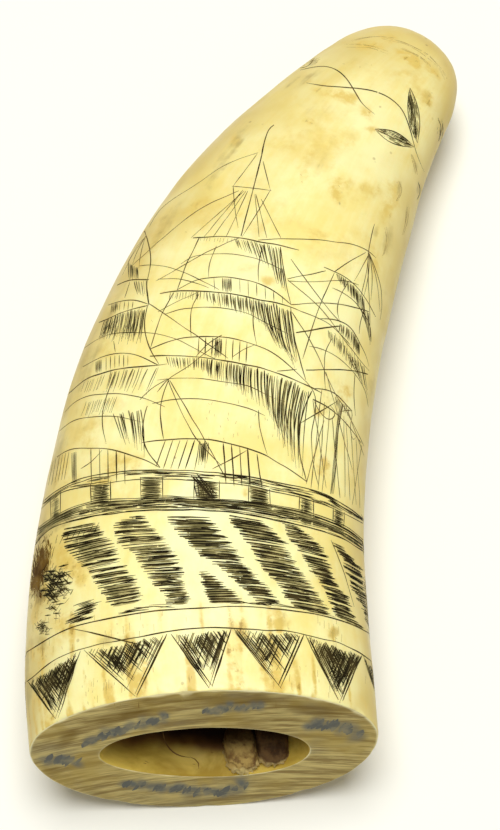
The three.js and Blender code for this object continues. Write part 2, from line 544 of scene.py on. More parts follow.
def along(path, u):
    """The point at share u of a path's length, for one u or many."""
    path = np.asarray(path, float)
    run = np.concatenate([[0], np.cumsum(np.linalg.norm(np.diff(path, axis=0), axis=-1))])
    s = np.asarray(u) * run[-1]
    return np.stack([np.interp(s, run, path[:, 0]), np.interp(s, run, path[:, 1])], -1)


def unsteady(path, amount, length=14.0):
    """The path as a hand holds it."""
    if amount <= 0 or len(path) < 3:
        return path
    way = np.gradient(path, axis=0)
    way = way / np.maximum(np.linalg.norm(way, axis=-1, keepdims=True), 1e-9)
    s = np.arange(len(path)) * 1.5 / length
    k = rng.uniform(0, 1000)
    off = noise(np.stack([s + k, np.zeros_like(s), np.full_like(s, k)], -1), 71)
    return path + np.stack([-way[:, 1], way[:, 0]], -1) * (off * amount)[:, None]


def lay(ink, p, n, w, ends=(0.12, 0.30), depth=0.09):
    """One cut along points in mm, thinned to what the curve needs, with tapered ends."""
    run = np.concatenate([[0], np.cumsum(np.linalg.norm(np.diff(p, axis=0), axis=-1))])
    total = run[-1]
    if total < 0.35:
        return
    k = max(2, int(total / 0.9) + 1)
    s = np.linspace(0, total, k)
    q = np.stack([np.interp(s, run, p[:, i]) for i in range(3)], -1)
    m = np.stack([np.interp(s, run, n[:, i]) for i in range(3)], -1)
    m = m / np.maximum(np.linalg.norm(m, axis=-1, keepdims=True), 1e-9)
    u = s / total
    shape = np.minimum(1, (u + 0.04) / ends[0]) * np.minimum(1, (1 - u + 0.04) / ends[1])
    seed = rng.uniform(0, 1000)
    vary = 0.88 + 0.3 * noise(np.stack([s / 3.0 + seed, s * 0, s * 0], -1), 73)
    ink.add(q, m, np.maximum(0.05, w * np.clip(shape, 0.15, 1) * vary), depth)


def cut(ink, points, w=0.24, hand=0.35, ends=(0.12, 0.30), straight=False):
    """One cut through places in the picture, cast onto the tooth. It stops where the tooth ends."""
    path = np.array(points, float) if straight else curve(points)
    path = unsteady(path, hand)
    p, n, hit = cast(path)
    start = None
    for i in range(len(path) + 1):
        inside = i < len(path) and hit[i] >= 0
        if inside and start is not None and np.linalg.norm(p[i] - p[i - 1]) > 4.0:
            lay(ink, p[start:i], n[start:i], w, ends)
            start = i
        elif inside and start is None:
            start = i
        elif not inside and start is not None:
            if i - start >= 2:
                lay(ink, p[start:i], n[start:i], w, ends)
            start = None


def fringe(ink, top, bottom, count, w=0.24, bend=0.0, loose=0.06, gap=0.0, lift=1.0):
    """Strokes that hang from one path towards another, side by side."""
    count = max(5, int(count * 0.66))
    for k in range(count):
        u = (k + 0.5 + rng.uniform(-0.30, 0.30)) / count
        if rng.uniform() < gap:
            continue
        a = along(top, np.clip(u + rng.uniform(-loose, loose) * 0.1, 0, 1))
        b = along(bottom, np.clip(u + rng.uniform(-loose, loose) * 0.25, 0, 1))
        b = a + (b - a) * rng.uniform(0.78, 1.06)
        a = a + (b - a) * rng.uniform(0.0, 0.10) * lift
        if np.linalg.norm(b - a) < 2:
            continue
        mid = (a + b) / 2 + np.array([-(b - a)[1], (b - a)[0]]) * (bend + rng.uniform(-0.03, 0.03))
        cut(ink, [a, mid, b], 0.72 * w * rng.uniform(0.55, 1.3), 0.15, (0.08, 0.5))
        if w > 0.215 and rng.uniform() < 0.65:
            shift = rng.uniform(-0.8, 0.8, 2)
            cut(wash, [a + shift, mid + shift, a + (b - a) * 0.85 + shift], 1.3 * w * rng.uniform(0.5, 1.1), 0.2, (0.1, 0.4))


def band_y(line, x):
    return natural(line[:, 0], line[:, 1])(x)


def between(upper, lower, x, s):
    """Places in the band between two border lines, s from 0 at the upper one."""
    x, s = np.broadcast_arrays(np.asarray(x, float), np.asarray(s, float))
    return np.stack([x, band_y(upper, x) * (1 - s) + band_y(lower, x) * s], -1)


def band_cut(ink, upper, lower, x0, x1, s0, s1, w=0.24, hand=0.3, ends=(0.10, 0.20)):
    n = max(2, int(abs(x1 - x0) / 4) + 2)
    x = np.linspace(x0, x1, n)
    cut(ink, between(upper, lower, x, np.linspace(s0, s1, n)), w, hand, ends)


# The border lines of the bands, as they cross the picture.
RAIL = np.array([(36, 507), (61, 488), (84, 478), (110, 473), (133, 470.5), (163, 470), (194, 471), (224, 473.5), (245, 476), (275, 482), (306, 488.5), (329, 496), (344, 505), (364, 519)], float)
PORT_TOP = np.array([(36, 514), (59, 494), (92, 485.5), (140, 479.5), (166, 479), (196, 480.5), (222, 483), (250, 486), (270, 490.5), (301, 497.5), (334, 509), (364, 524)], float)
PORT_FOOT = np.array([(36, 531), (59, 516), (89, 504), (128, 500.5), (166, 498), (204, 500), (242, 502.5), (270, 506), (298, 511), (326, 520), (350, 531.5), (364, 543)], float)
WALE_FOOT = np.array([(34, 546), (46, 532), (71, 521.5), (102, 515), (143, 511), (179, 510), (217, 511), (255, 516), (286, 522.5), (314, 529), (339, 537), (364, 552)], float)
SHORE = np.array([(24, 654), (46, 640), (66, 630), (102, 620), (127, 615), (153, 611), (179, 609), (217, 607), (255, 607), (293, 611), (332, 618), (357, 627), (373, 636)], float)
HEM = np.array([(25, 683), (32, 678), (48, 664), (72, 652), (96, 645), (128, 639), (159, 633), (191, 629), (223, 628), (262, 630), (284, 631), (306, 635), (328, 640), (349, 647), (360, 653), (376, 665)], float)

lines, hatch, sea, hull, pale = Ink(), Ink(), Ink(), Ink(), Ink()
wash = Ink(0.008)  # grey that filled the skin between the cuts

# -------- border lines
cut(lines, SHORE, 0.26, 0.4, (0.02, 0.02))
cut(lines, HEM, 0.24, 0.5, (0.02, 0.02))
cut(lines, [(73, 629), (88, 632), (120, 639.5), (153, 648)], 0.26, 0.4)

# -------- the hull: rail, gun ports and wales
cut(hull, RAIL, 0.24, 0.5, (0.02, 0.02))
cut(hull, RAIL + [0, 2.6], 0.20, 0.8, (0.02, 0.02))
cut(hull, PORT_FOOT, 0.30, 0.5, (0.02, 0.02))
cut(hull, PORT_FOOT + [0, -1.8], 0.18, 0.6, (0.02, 0.02))
cut(hull, PORT_TOP, 0.20, 0.5, (0.02, 0.02))
cut(hull, WALE_FOOT, 0.24, 0.5, (0.02, 0.02))
for x0, x1, share in ((40, 110, 0.9), (120, 150, 0.6), (130, 212, 1.5), (215, 262, 1.6), (262, 330, 1.8), (320, 364, 1.4)):
    for _ in range(int((x1 - x0) * share * 0.16)):
        a = rng.uniform(x0, x1 - 8)
        s = rng.uniform(0.08, 0.95)
        band_cut(hull, RAIL, PORT_TOP, a, a + rng.uniform(9, 30), s, s + rng.uniform(-0.08, 0.08), rng.uniform(0.12, 0.26))
        if rng.uniform() < 0.5:
            band_cut(wash, RAIL, PORT_TOP, a + 2, a + rng.uniform(7, 22), s, s, rng.uniform(0.3, 0.5))
for k in range(7):  # wales
    s = (k + 0.6) / 7
    x = 36.0
    while x < 364:
        run = rng.uniform(18, 60)
        band_cut(hull, PORT_FOOT, WALE_FOOT, x, min(366, x + run), s + rng.uniform(-0.04, 0.04), s + rng.uniform(-0.06, 0.06), rng.uniform(0.13, 0.26) if 1 <= k <= 4 else rng.uniform(0.12, 0.20))
        if k < 5 and rng.uniform() < 0.7:
            band_cut(wash, PORT_FOOT, WALE_FOOT, x, min(366, x + run), s + rng.uniform(-0.04, 0.04), s + rng.uniform(-0.06, 0.06), rng.uniform(0.3, 0.6), 0.5)
        x += run + rng.uniform(-6, 5)
for _ in range(46):
    a = rng.uniform(50, 345)
    s = rng.uniform(0.1, 0.75)
    band_cut(hull, PORT_FOOT, WALE_FOOT, a, a + rng.uniform(10, 26), s, s + rng.uniform(-0.05, 0.05), rng.uniform(0.13, 0.28))

PORTS = [(51, 60), (91, 110), (141, 162), (195, 219), (249, 269), (300, 313), (334, 344)]
for k, (x0, x1) in enumerate(PORTS):
    for x in (x0 - 0.5, x1 + 0.5):
        cut(hull, [between(PORT_TOP, PORT_FOOT, x, -0.12), between(PORT_TOP, PORT_FOOT, x + rng.uniform(-1, 1), 1.02)], 0.22, 0.2)
    rows_here = 11
    for j in range(rows_here):
        s = (j + 0.7) / rows_here
        band_cut(hull, PORT_TOP, PORT_FOOT, x0 + rng.uniform(-0.5, 2), x1 - rng.uniform(-0.5, 3), s, s + rng.uniform(-0.04, 0.04), rng.uniform(0.16, 0.32))
        band_cut(wash, PORT_TOP, PORT_FOOT, x0 + rng.uniform(0, 2), x1 - rng.uniform(0, 2), s, s + rng.uniform(-0.04, 0.04), rng.uniform(0.4, 0.6))
for k in range(5):  # a heavy slip of the tool across one port
    a = np.array([191.0 + k * 1.9, 474.0 + rng.uniform(-1, 3)])
    b = np.array([210.0 + k * 1.9, 498.0 + rng.uniform(-3, 2)])
    cut(hull, [a, b], 0.27, 0.3)
for k in range(8):
    a = np.array([197.0 + k * 2.4, 497.0])
    cut(hull, [a, a + [-2.5 + rng.uniform(-1, 1), -15]], 0.2, 0.2)

# -------- the sea: slanting patches of level strokes
SEA = [  # down each patch: height in the picture, left end, right end
    ([(526, 66, 96), (531, 62, 98), (541, 66, 106), (552, 73, 113), (565, 86, 121), (580, 97, 133), (592, 104, 139), (602, 110, 140)], 1.0),
    ([(517, 126, 147), (521, 113, 149), (529, 111, 156), (540, 118, 164), (552, 132, 174), (565, 144, 180), (580, 152, 183), (592, 163, 189), (602, 170, 189)], 0.95),
    ([(516.5, 167, 208), (522, 168, 212), (529, 176, 218), (540, 186, 228), (552, 196, 238), (565, 214, 247), (578, 230, 260), (592, 245, 273), (601, 254, 276)], 1.08),
    ([(518, 228, 262), (524, 230, 268), (530, 235, 279), (540, 242, 285), (552, 252, 292), (565, 260, 300), (580, 271, 311), (592, 282, 318), (604, 290, 325), (610, 300, 330)], 1.02),
    ([(525, 284, 298), (530, 285, 306), (538, 289, 319), (550, 297, 327), (565, 307, 328), (578, 316, 333), (590, 324, 344), (603, 329, 350), (616, 335, 357), (624, 345, 362)], 0.98),
    ([(545, 332, 342), (552, 336, 350), (562, 341, 358), (578, 348, 364), (595, 354, 369), (612, 362, 373), (624, 366, 375)], 0.9),
]
for stations, weight in SEA:
    y_at, left_at, right_at = np.array(stations, float).T
    count = int((y_at[-1] - y_at[0]) / 2.35)
    k1, k2 = rng.uniform(0, 99, 2)
    for j in range(count):
        k = (j + rng.uniform(-0.25, 0.25)) / (count - 1)
        y = y_at[0] + (y_at[-1] - y_at[0]) * k
        left = np.interp(y, y_at, left_at) + 2.0 * noise(np.array([[k * 5 + k1, 0, 0]]), 81)[0] + rng.uniform(-2.5, 2.0)
        right = np.interp(y, y_at, right_at) + 2.0 * noise(np.array([[k * 5 + k2, 0, 0]]), 82)[0] + rng.uniform(-2.0, 3.5)
        middle = (left + right) / 2
        s = float((y - band_y(WALE_FOOT, middle)) / (band_y(SHORE, middle) - band_y(WALE_FOOT, middle)))
        tilt = rng.uniform(-0.010, 0.010)
        if rng.uniform() < 0.85:
            m = left + (right - left) * rng.uniform(0.0, 0.3)
            band_cut(wash, WALE_FOOT, SHORE, m, right - (right - left) * rng.uniform(0.0, 0.2), s + 0.012, s + 0.012 + tilt, weight * rng.uniform(0.35, 0.75), 0.4, (0.12, 0.25))
        ends = (rng.uniform(0.03, 0.10), rng.uniform(0.06, 0.28))
        if rng.uniform() < 0.45 and right - left > 16:  # two strokes meet
            m = left + (right - left) * rng.uniform(0.35, 0.65)
            band_cut(sea, WALE_FOOT, SHORE, left, m + rng.uniform(0, 5), s, s + tilt, weight * rng.uniform(0.19, 0.38), 0.35, ends)
            band_cut(sea, WALE_FOOT, SHORE, m - rng.uniform(0, 5), right, s + rng.uniform(-0.008, 0.008), s + tilt, weight * rng.uniform(0.19, 0.38), 0.35, ends)
        else:
            band_cut(sea, WALE_FOOT, SHORE, left, right, s, s + tilt, weight * rng.uniform(0.19, 0.38), 0.35, ends)
        if rng.uniform() < 0.75:  # a finer stroke between
            a = rng.uniform(left, max(left + 1, right - 8))
            band_cut(sea, WALE_FOOT, SHORE, a, min(right, a + rng.uniform(7, 24)), s + 0.014, s + 0.014 + tilt, rng.uniform(0.13, 0.24), 0.3, (0.1, 0.3))
for j in range(13):  # the loose piece of the third patch
    y = 572.0 + j * 2.45
    a = 199 + j * 0.75 + rng.uniform(-2, 2)
    b = np.interp(y, [572, 582, 591, 603], [208, 221, 231, 244]) + rng.uniform(-3, 4)
    s = float((y - band_y(WALE_FOOT, 215)) / (band_y(SHORE, 215) - band_y(WALE_FOOT, 215)))
    band_cut(sea, WALE_FOOT, SHORE, a, b, s, s + rng.uniform(-0.01, 0.01), rng.uniform(0.26, 0.46), 0.35, (0.08, 0.2))
    band_cut(wash, WALE_FOOT, SHORE, a + 2, b - 3, s + 0.01, s + 0.01, rng.uniform(0.4, 0.7), 0.35, (0.08, 0.2))
for _ in range(24):  # thin end strokes along the shore
    a = rng.uniform(110, 345)
    band_cut(sea, WALE_FOOT, SHORE, a, a + rng.uniform(10, 34), 0.965 + rng.uniform(-0.03, 0.015), 0.965 + rng.uniform(-0.02, 0.015), rng.uniform(0.12, 0.22))
cut(sea, [(331, 540), (344, 573), (354, 607)], 0.2, 0.3)
for j in range(16):  # left of the first patch: shore strokes and a crossed tangle
    s = 0.80 + j * 0.011
    a = rng.uniform(64, 82)
    band_cut(sea, WALE_FOOT, SHORE, a, a + rng.uniform(12, 26), s, s - 0.01, rng.uniform(0.18, 0.32))
for cx, cy, half, count in ((58, 580, 13, 92), (51, 594, 10, 56), (43, 627, 6, 64), (64, 592, 9, 34), (55, 608, 10, 22)):
    for _ in range(count):
        a = np.array([cx, cy]) + rng.normal(0, 0.45, 2) * half
        way = math.radians(rng.choice([-62, -55, 38, 48, -6, -12, -8]) + rng.uniform(-8, 8))
        reach = rng.uniform(0.35, 0.9) * half
        d = np.array([math.cos(way), math.sin(way)]) * reach / 2
        cut(sea, [a - d, a + d], rng.uniform(0.20, 0.38), 0.2)
        if rng.uniform() < 0.5:
            cut(wash, [a - d * 0.8, a + d * 0.8], rng.uniform(0.5, 1.0), 0.2)
for j in range(7):
    a = np.array([62 + j * 5.6, 541 - j * 1.6])
    cut(sea, [a + [3.5, -9], a + [-2.5, 3]], 0.17, 0.2)

# -------- the hem: hanging triangles, hatched and crossed
HEM_TRIANGLES = [  # left, point, right; weight of the hatching
    ((28, 682), (57, 721.5), (80, 651), 1.25),
    ((84, 650), (136.5, 697), (167, 634), 0.85),
    ((171, 634), (210.5, 691), (231, 629), 0.8),
    ((234, 629), (280.5, 688), (304, 634), 0.85),
    ((305, 635), (341, 705), (362, 655), 1.25),
    ((363, 655), (378, 702), (386, 690), 0.9),
]
for left, point, right, weight in HEM_TRIANGLES:
    left, point, right = (np.array(q, float) for q in (left, point, right))
    cut(lines, [left, point + [1, 1]], 0.26, 0.5)
    cut(lines, [right, point], 0.26, 0.5)
    cut(lines, [right + [-4, 1.5], point + [-1.6, -3]], 0.2, 0.4)
    for side in (0, 1):  # strokes along one side, then along the other
        edge_to = left if side == 0 else right
        count = int(23 * weight) + (6 if side else 4)
        for k in range(count):
            f = (k + rng.uniform(0.1, 0.9)) / count
            start = left + (right - left) * (f if side == 0 else 1 - f)
            way = point - edge_to
            room = 1 - f
            a0 = rng.uniform(0.02, 0.22) * room
            a1 = min(0.99 * room, a0 + rng.uniform(0.35, 0.95) * room)
            if a1 - a0 < 0.05:
                continue
            for _ in range(2 if rng.uniform() < 0.45 * weight else 1):
                shift = rng.uniform(-1.4, 1.4, 2)
                cut(hatch, [start + way * a0 + shift, start + way * a1 + shift], rng.uniform(0.13, 0.28) * (0.7 + 0.3 * weight), 0.25, (0.1, 0.35))
            if rng.uniform() < 0.6 * weight:
                cut(wash, [start + way * a0, start + way * (a0 * 0.3 + a1 * 0.7)], rng.uniform(0.3, 0.6), 0.25, (0.1, 0.35))


def within(q, left, point, right):
    """Whether a place lies in a triangle of the hem."""
    turn_at = lambda a, b: (b[0] - a[0]) * (q[1] - a[1]) - (b[1] - a[1]) * (q[0] - a[0])
    signs = [turn_at(left, point), turn_at(point, right), turn_at(right, left)]
    return min(signs) >= 0 or max(signs) <= 0


for cx, cy, half, slope, share in ((117, 662, 9, 58, 1.6), (139, 656, 4, -60, 1.0), (198, 664, 5, 60, 1.2), (47, 688, 12, -60, 0.7), (60, 676, 12, -62, 0.7),
                                   (343, 678, 13, 62, 1.3), (352, 664, 6, -60, 1.4), (330, 656, 8, 62, 0.8), (267, 655, 6, -58, 1.0), (50, 704, 8, 58, 0.8)):
    for _ in range(int(half * 2.2 * share)):  # darker knots
        a = np.array([cx, cy]) + rng.normal(0, 0.42, 2) * half
        way = math.radians((slope if rng.uniform() < 0.8 else -slope) + rng.uniform(-6, 6))
        d = np.array([math.cos(way), math.sin(way)]) * rng.uniform(3, 7)
        if any(within(a - d, *t[:3]) and within(a + d, *t[:3]) for t in HEM_TRIANGLES):
            cut(hatch, [a - d, a + d], rng.uniform(0.18, 0.34), 0.2)

# -------- the ship. Each square sail hangs from a yard and ends in an arched foot.
def sail(yard, foot, left=None, right=None, reef=None, weight=1.0):
    cut(lines, yard, 0.27 * weight, 0.4, (0.05, 0.1))
    cut(lines, foot, 0.24 * weight, 0.4, (0.05, 0.08))
    for edge in (left, right):
        if edge is not None:
            cut(lines, edge, 0.23 * weight, 0.4, (0.06, 0.12))
    if reef is not None:
        cut(lines, reef, 0.17 * weight, 0.4, (0.1, 0.1))


def slats(x0, x1, top, bottom, count, w=0.2, lean=0.0, dark=()):
    """The upright bars seen under a sail's foot, some of them blackened."""
    for x in np.linspace(x0, x1, count):
        a = np.array([x, band_y(np.array(top, float), x) + 0.5])
        b = np.array([x + lean, band_y(np.array(bottom, float), x) - rng.uniform(0, 2.5)])
        cut(lines, [a, b], w * rng.uniform(0.8, 1.2), 0.2, (0.1, 0.2))
    for d0, d1 in dark:
        for x in np.arange(d0, d1, 1.25):
            a = np.array([x, band_y(np.array(top, float), x) + 1])
            b = np.array([x + lean * 0.6, band_y(np.array(bottom, float), x) - rng.uniform(0, 5)])
            cut(hatch, [a, b], rng.uniform(0.14, 0.26), 0.2, (0.1, 0.3))


# Main mast, from the top sail down.
yard = [(193, 238), (217, 236.5), (236, 237.5), (255, 241), (275, 244.5), (299, 250.5)]
foot = [(177, 290), (193, 281.5), (210, 277.5), (226, 277), (250, 281), (269, 288), (291, 304.5)]
sail(yard, foot, [(200, 237), (188.5, 260), (177.5, 290)], [(280.5, 247), (284.5, 276), (291, 305)], [(181, 264), (192, 257), (207, 254), (224, 253.6), (250, 257), (281, 269.5)])
fringe(hatch, curve([(233, 238), (252, 241), (281, 247)]), curve([(236, 247), (258, 259), (284, 288)]), 34, 0.26)
fringe(hatch, curve([(199, 237.5), (233, 238)]), curve([(198, 241), (232, 243)]), 16, 0.2)
fringe(hatch, curve([(272, 262), (283, 268)]), curve([(277, 286), (287, 296)]), 7, 0.24)
slats(214, 282, [(205, 278), (226, 277.5), (250, 281), (290, 300)], [(205, 291), (229, 293), (250, 297), (290, 306)], 9, 0.18, 0.5, ((224, 231),))
cut(lines, [(216.5, 246), (209, 266), (208.5, 277)], 0.2)
cut(lines, [(262, 247), (258.6, 266), (258.8, 282)], 0.2)

yard = [(160, 293.5), (172, 291.3), (199, 290.8), (230, 293.7), (250, 297.8), (273, 302.4), (288, 306), (303, 312.5)]
foot = [(150, 349), (172, 340.5), (198, 336.8), (216, 336.8), (235, 339), (250, 343.3), (269, 351), (288, 364.5), (306, 382)]
sail(yard, foot, [(173.5, 293), (162.5, 313), (150.5, 348)], [(290.5, 307), (293.5, 334), (298, 353), (306, 380)], [(164, 314.5), (184, 309), (206.5, 307), (228, 309), (250, 314.8), (269, 324.4), (289, 334.5)])
fringe(hatch, curve([(170, 292), (205, 291.5)]), curve([(168, 299.5), (204, 300)]), 22, 0.22)
fringe(hatch, curve([(206, 292), (230, 294.2), (250, 298)]), curve([(208, 303), (232, 311), (252, 316)]), 30, 0.27)
fringe(hatch, curve([(249, 298), (270, 302), (290, 307)]), curve([(252, 319), (268, 334), (285, 353), (300, 375)]), 42, 0.28, 0.02)
fringe(hatch, curve([(262, 318), (288, 338)]), curve([(272, 340), (302, 374)]), 9, 0.22, 0.02)
slats(199, 247, [(190, 337), (216, 337.3), (235, 339.5), (255, 345)], [(190, 355.5), (210, 358.5), (230, 361.5), (255, 366)], 8, 0.19, -1.0, ((215.5, 222),))
fringe(hatch, curve([(195, 338), (222, 338)]), curve([(193, 354), (218, 357)]), 13, 0.17, gap=0.2)
cut(lines, [(199, 294), (192.5, 307), (190.5, 324), (191, 337)], 0.22)
cut(lines, [(254, 303), (253, 324), (257, 345)], 0.22)

yard = [(150, 356.3), (184, 355.8), (210, 358.8), (230, 361.7), (250, 365.3), (269, 370.3), (288, 377), (307, 385.6), (322, 393)]
foot = [(142, 442.5), (163, 440), (187.5, 438.8), (210, 440), (230, 444), (250, 449.3), (269, 457.3), (288, 468.8), (307, 482)]
sail(yard, foot, [(168.5, 379), (161.7, 401), (160.3, 416), (163.6, 439)], [(311.5, 391), (302, 416), (299, 439), (301.7, 464), (307, 482)], [(152, 403.5), (164.5, 401), (182, 399), (210, 400), (233, 404), (250, 409), (265, 415.5)], 1.05)
cut(lines, [(157, 380.5), (182, 378), (206.6, 379), (230, 382.8), (250, 386.5), (269, 396), (285, 401.5)], 0.17)
fringe(hatch, curve([(165, 356.5), (205, 358)]), curve([(168, 367), (204, 371)]), 26, 0.23)
fringe(hatch, curve([(203, 358.4), (230, 362), (252, 366)]), curve([(202, 372), (230, 388), (252, 403)]), 42, 0.30, 0.03)
fringe(hatch, curve([(249, 365.5), (270, 371), (290, 378), (310, 390)]), curve([(251, 402), (270, 421), (285, 452), (303, 479)]), 48, 0.30, 0.04)
fringe(hatch, curve([(270, 396), (300, 410)]), curve([(279, 434), (300, 472)]), 8, 0.24, 0.04)
slats(165.4, 194.7, [(150, 441), (187, 439.5), (215, 441)], [(150, 466), (187, 470), (215, 471)], 5, 0.26, -9.5)
cut(lines, [(200, 440), (194.5, 470)], 0.2)
fringe(hatch, curve([(200, 441), (209.5, 441.5)]), curve([(198, 465), (207, 468)]), 11, 0.26)
slats(223.4, 247.6, [(200, 440), (230, 444), (262, 452)], [(200, 485), (230, 487), (262, 491)], 4, 0.26, 2.6)
cut(lines, [(258.6, 410), (259.6, 426), (267.5, 455)], 0.22)
cut(lines, [(257, 454), (262, 489)], 0.34)
cut(lines, [(212, 469), (232, 459), (249, 449)], 0.22)
for k in range(26):  # reef points and small spots on the canvas
    x, y = rng.uniform(205, 290), rng.uniform(395, 440)
    cut(pale, [(x, y), (x + rng.uniform(-1, 1), y + rng.uniform(2, 4))], 0.14, 0.1)

# Left mast.
sail([(117, 285), (132, 280), (149, 279.5)], [(108, 305), (124, 300.5), (136, 300.3), (149, 304.5)], None, [(147, 282), (147.5, 292), (149, 304.5)])
fringe(hatch, curve([(133, 281), (147, 280)]), curve([(137, 294), (147.5, 299)]), 10, 0.24)
cut(lines, [(130, 282), (125, 298)], 0.22)
slats(112, 133, [(100, 308), (124, 301), (150, 305)], [(100, 320), (124, 312), (150, 310)], 6, 0.18, -1.0, ((113, 119),))
sail([(99, 323), (118, 314), (134, 309), (148.5, 305.5)], [(83, 367), (99.5, 358), (118.6, 353.5), (134, 354.6), (147, 359.7), (158, 365)], None, [(147.3, 306), (144.5, 322), (146.4, 338), (151, 351), (159, 365)], [(84, 348.5), (95.7, 340.6), (107, 335), (124.4, 332.4), (143, 332.7)])
fringe(hatch, curve([(104, 320), (122, 312), (146, 307)]), curve([(98, 340), (116, 338), (141, 343)]), 46, 0.25)
fringe(hatch, curve([(112, 326), (144, 322)]), curve([(106, 342), (138, 347)]), 12, 0.24)
cut(lines, [(113.5, 341), (115.4, 352)], 0.2)
slats(106, 128, [(84, 366), (100, 359), (119, 354.5), (150, 361)], [(84, 376), (100, 373), (119, 369), (150, 366)], 6, 0.2, 0.0, ((96, 102),))
sail([(66, 397), (84, 381), (101, 373.5), (118.6, 369.3), (142, 366.4), (167, 364)], [(57, 457), (71, 449.7), (88, 448.3), (107, 448.7), (126, 453.5), (142, 459), (160, 467.5)], None, [(147.5, 406), (142.5, 426), (145.5, 447), (160, 467.5)], [(65, 412.5), (73, 404), (86, 397), (107, 393.6), (130, 395), (151, 401), (165, 407)])
cut(lines, [(59, 431.5), (73, 421), (92, 417), (115, 416.5), (142, 422)], 0.19)
fringe(hatch, curve([(110, 371), (135, 368), (160, 367)]), curve([(104, 391), (126, 393), (148, 394)]), 36, 0.22, gap=0.15)
fringe(hatch, curve([(84, 382), (110, 372)]), curve([(80, 393), (104, 389)]), 20, 0.17, gap=0.25)
fringe(hatch, curve([(83, 402), (118, 396)]), curve([(78, 418), (112, 412)]), 26, 0.17, gap=0.3)
fringe(hatch, curve([(112, 414), (141, 408)]), curve([(122, 442), (144, 455)]), 24, 0.25, gap=0.2)
cut(lines, [(115, 372), (107, 395), (102.5, 416), (103.3, 431.5), (106, 444)], 0.24)
slats(91, 124.5, [(57, 457), (88, 448.5), (107, 449), (130, 455)], [(57, 488), (88, 486), (107, 485), (130, 484)], 5, 0.26, 0.6, ((72, 76.5),))
slats(53, 69, [(50, 462), (71, 450.5), (90, 449)], [(50, 488), (71, 480), (90, 476)], 6, 0.18, -4.5)
cut(lines, [(81, 469), (92, 461), (102, 450)], 0.2)
cut(lines, [(144, 228), (147, 238), (150.3, 265), (147.5, 282), (149, 304.5)], 0.24)
for b in ((128, 262), (133, 264), (139, 268), (122, 275)):
    cut(lines, [(146, 236), ((146 + b[0]) / 2 - 1.5, (236 + b[1]) / 2), b], 0.16)
fringe(hatch, curve([(128, 262), (138, 268)]), curve([(128, 280), (139, 280)]), 16, 0.24)
fringe(hatch, curve([(120, 318), (106, 324)]), curve([(112, 334), (98, 338)]), 16, 0.2)

# Right mast.
sail([(324, 267), (336, 272.5), (351.5, 282), (365, 297.5), (375.5, 317)], [(291, 304.5), (326.5, 303.3), (349.5, 306), (369, 312)], [(334, 272.7), (322, 301), (308, 341), (302.5, 359)], [(360, 308), (369.5, 325), (371, 342)], [(332, 288), (347.5, 295.7), (359, 307), (365, 320.5), (370, 341)])
fringe(hatch, curve([(336, 273), (351, 283), (364, 298)]), curve([(338, 281), (351, 297), (365, 318)]), 34, 0.27)
fringe(hatch, curve([(360, 305), (371, 313)]), curve([(365, 324), (371, 340)]), 12, 0.26)
cut(lines, [(348.5, 282), (340, 297.6), (338, 315), (340, 322.5)], 0.2)
cut(lines, [(365, 309), (360, 324.5), (359, 334)], 0.2)
sail([(296, 333), (317, 329), (341, 326)], [(306, 370.3), (332, 369.3), (353, 371), (368, 374.5)], None, None, [(309, 346.4), (326.5, 351), (342, 361), (355, 374), (365, 391), (368, 407)])
cut(lines, [(317, 318.6), (334, 319.6), (349.5, 327), (359, 341.6), (365, 353), (369, 366.5)], 0.23)
fringe(hatch, curve([(339, 323), (350, 329), (359, 343)]), curve([(338, 333), (350, 345), (360, 360)]), 26, 0.27, -0.03)
fringe(hatch, curve([(327, 329), (341, 341), (356, 361)]), curve([(328, 338), (341, 354), (355, 374)]), 34, 0.23)
fringe(hatch, curve([(332, 331), (346, 341), (358, 358)]), curve([(334, 338), (347, 351), (359, 368)]), 12, 0.2)
fringe(hatch, curve([(345, 350), (365, 366)]), curve([(356, 372), (369, 398)]), 16, 0.22)
cut(lines, [(332, 338), (325.6, 353), (324.5, 372), (325.6, 391)], 0.22)
cut(lines, [(355, 372), (354, 399), (355.5, 416)], 0.2)
sail([(315, 388.5), (334, 393), (343, 401), (352, 411)], [(313, 399), (326.5, 406.5), (338, 415), (361, 443)], None, None, None)
cut(lines, [(300.5, 423), (318, 413), (338, 401)], 0.22)
cut(lines, [(313.5, 400), (321, 413), (331, 419), (334.5, 415), (330, 405)], 0.18)
cut(lines, [(340, 412), (351, 410.5), (350.5, 430), (354, 440), (357, 436)], 0.18)
fringe(hatch, curve([(334, 396), (350, 408)]), curve([(336, 406), (348, 416)]), 11, 0.24)
for k in range(4):  # the spanker's mast, a heavy dark post
    cut(lines, [(341.2 + k * 0.8, 404), (338.4 + k * 0.8, 415), (334.9 + k * 0.8, 449), (330.4 + k * 0.9, 494)], 0.16, 0.35, (0.06, 0.06))
for top, foot_at in (((322, 388), (311, 488)), ((325, 402), (318, 490)), ((330, 408), (322, 492)), ((326, 372), (352, 470)), ((313, 400), (326, 488)),
                     ((344, 416), (345, 497)), ((346, 420), (350, 500)), ((351, 432), (356, 505)), ((356, 440), (360, 508)), ((345, 404), (364, 456)),
                     ((324, 420), (306, 484)), ((362, 445), (352, 505)), ((332, 418), (340, 498))):
    cut(pale, [top, foot_at], 0.19, 0.4, (0.1, 0.1))
cut(lines, [(374.5, 224), (370.5, 240), (368.5, 251), (369, 290), (370, 345)], 0.22)
for b in ((354, 281), (359, 302), (364, 296), (371, 300), (380, 312)):
    cut(lines, [(369, 253), ((369 + b[0]) / 2 + 2, (253 + b[1]) / 2 - 2), b], 0.17)
cut(lines, [(369, 253), (377, 274), (382, 305), (380, 320)], 0.19)

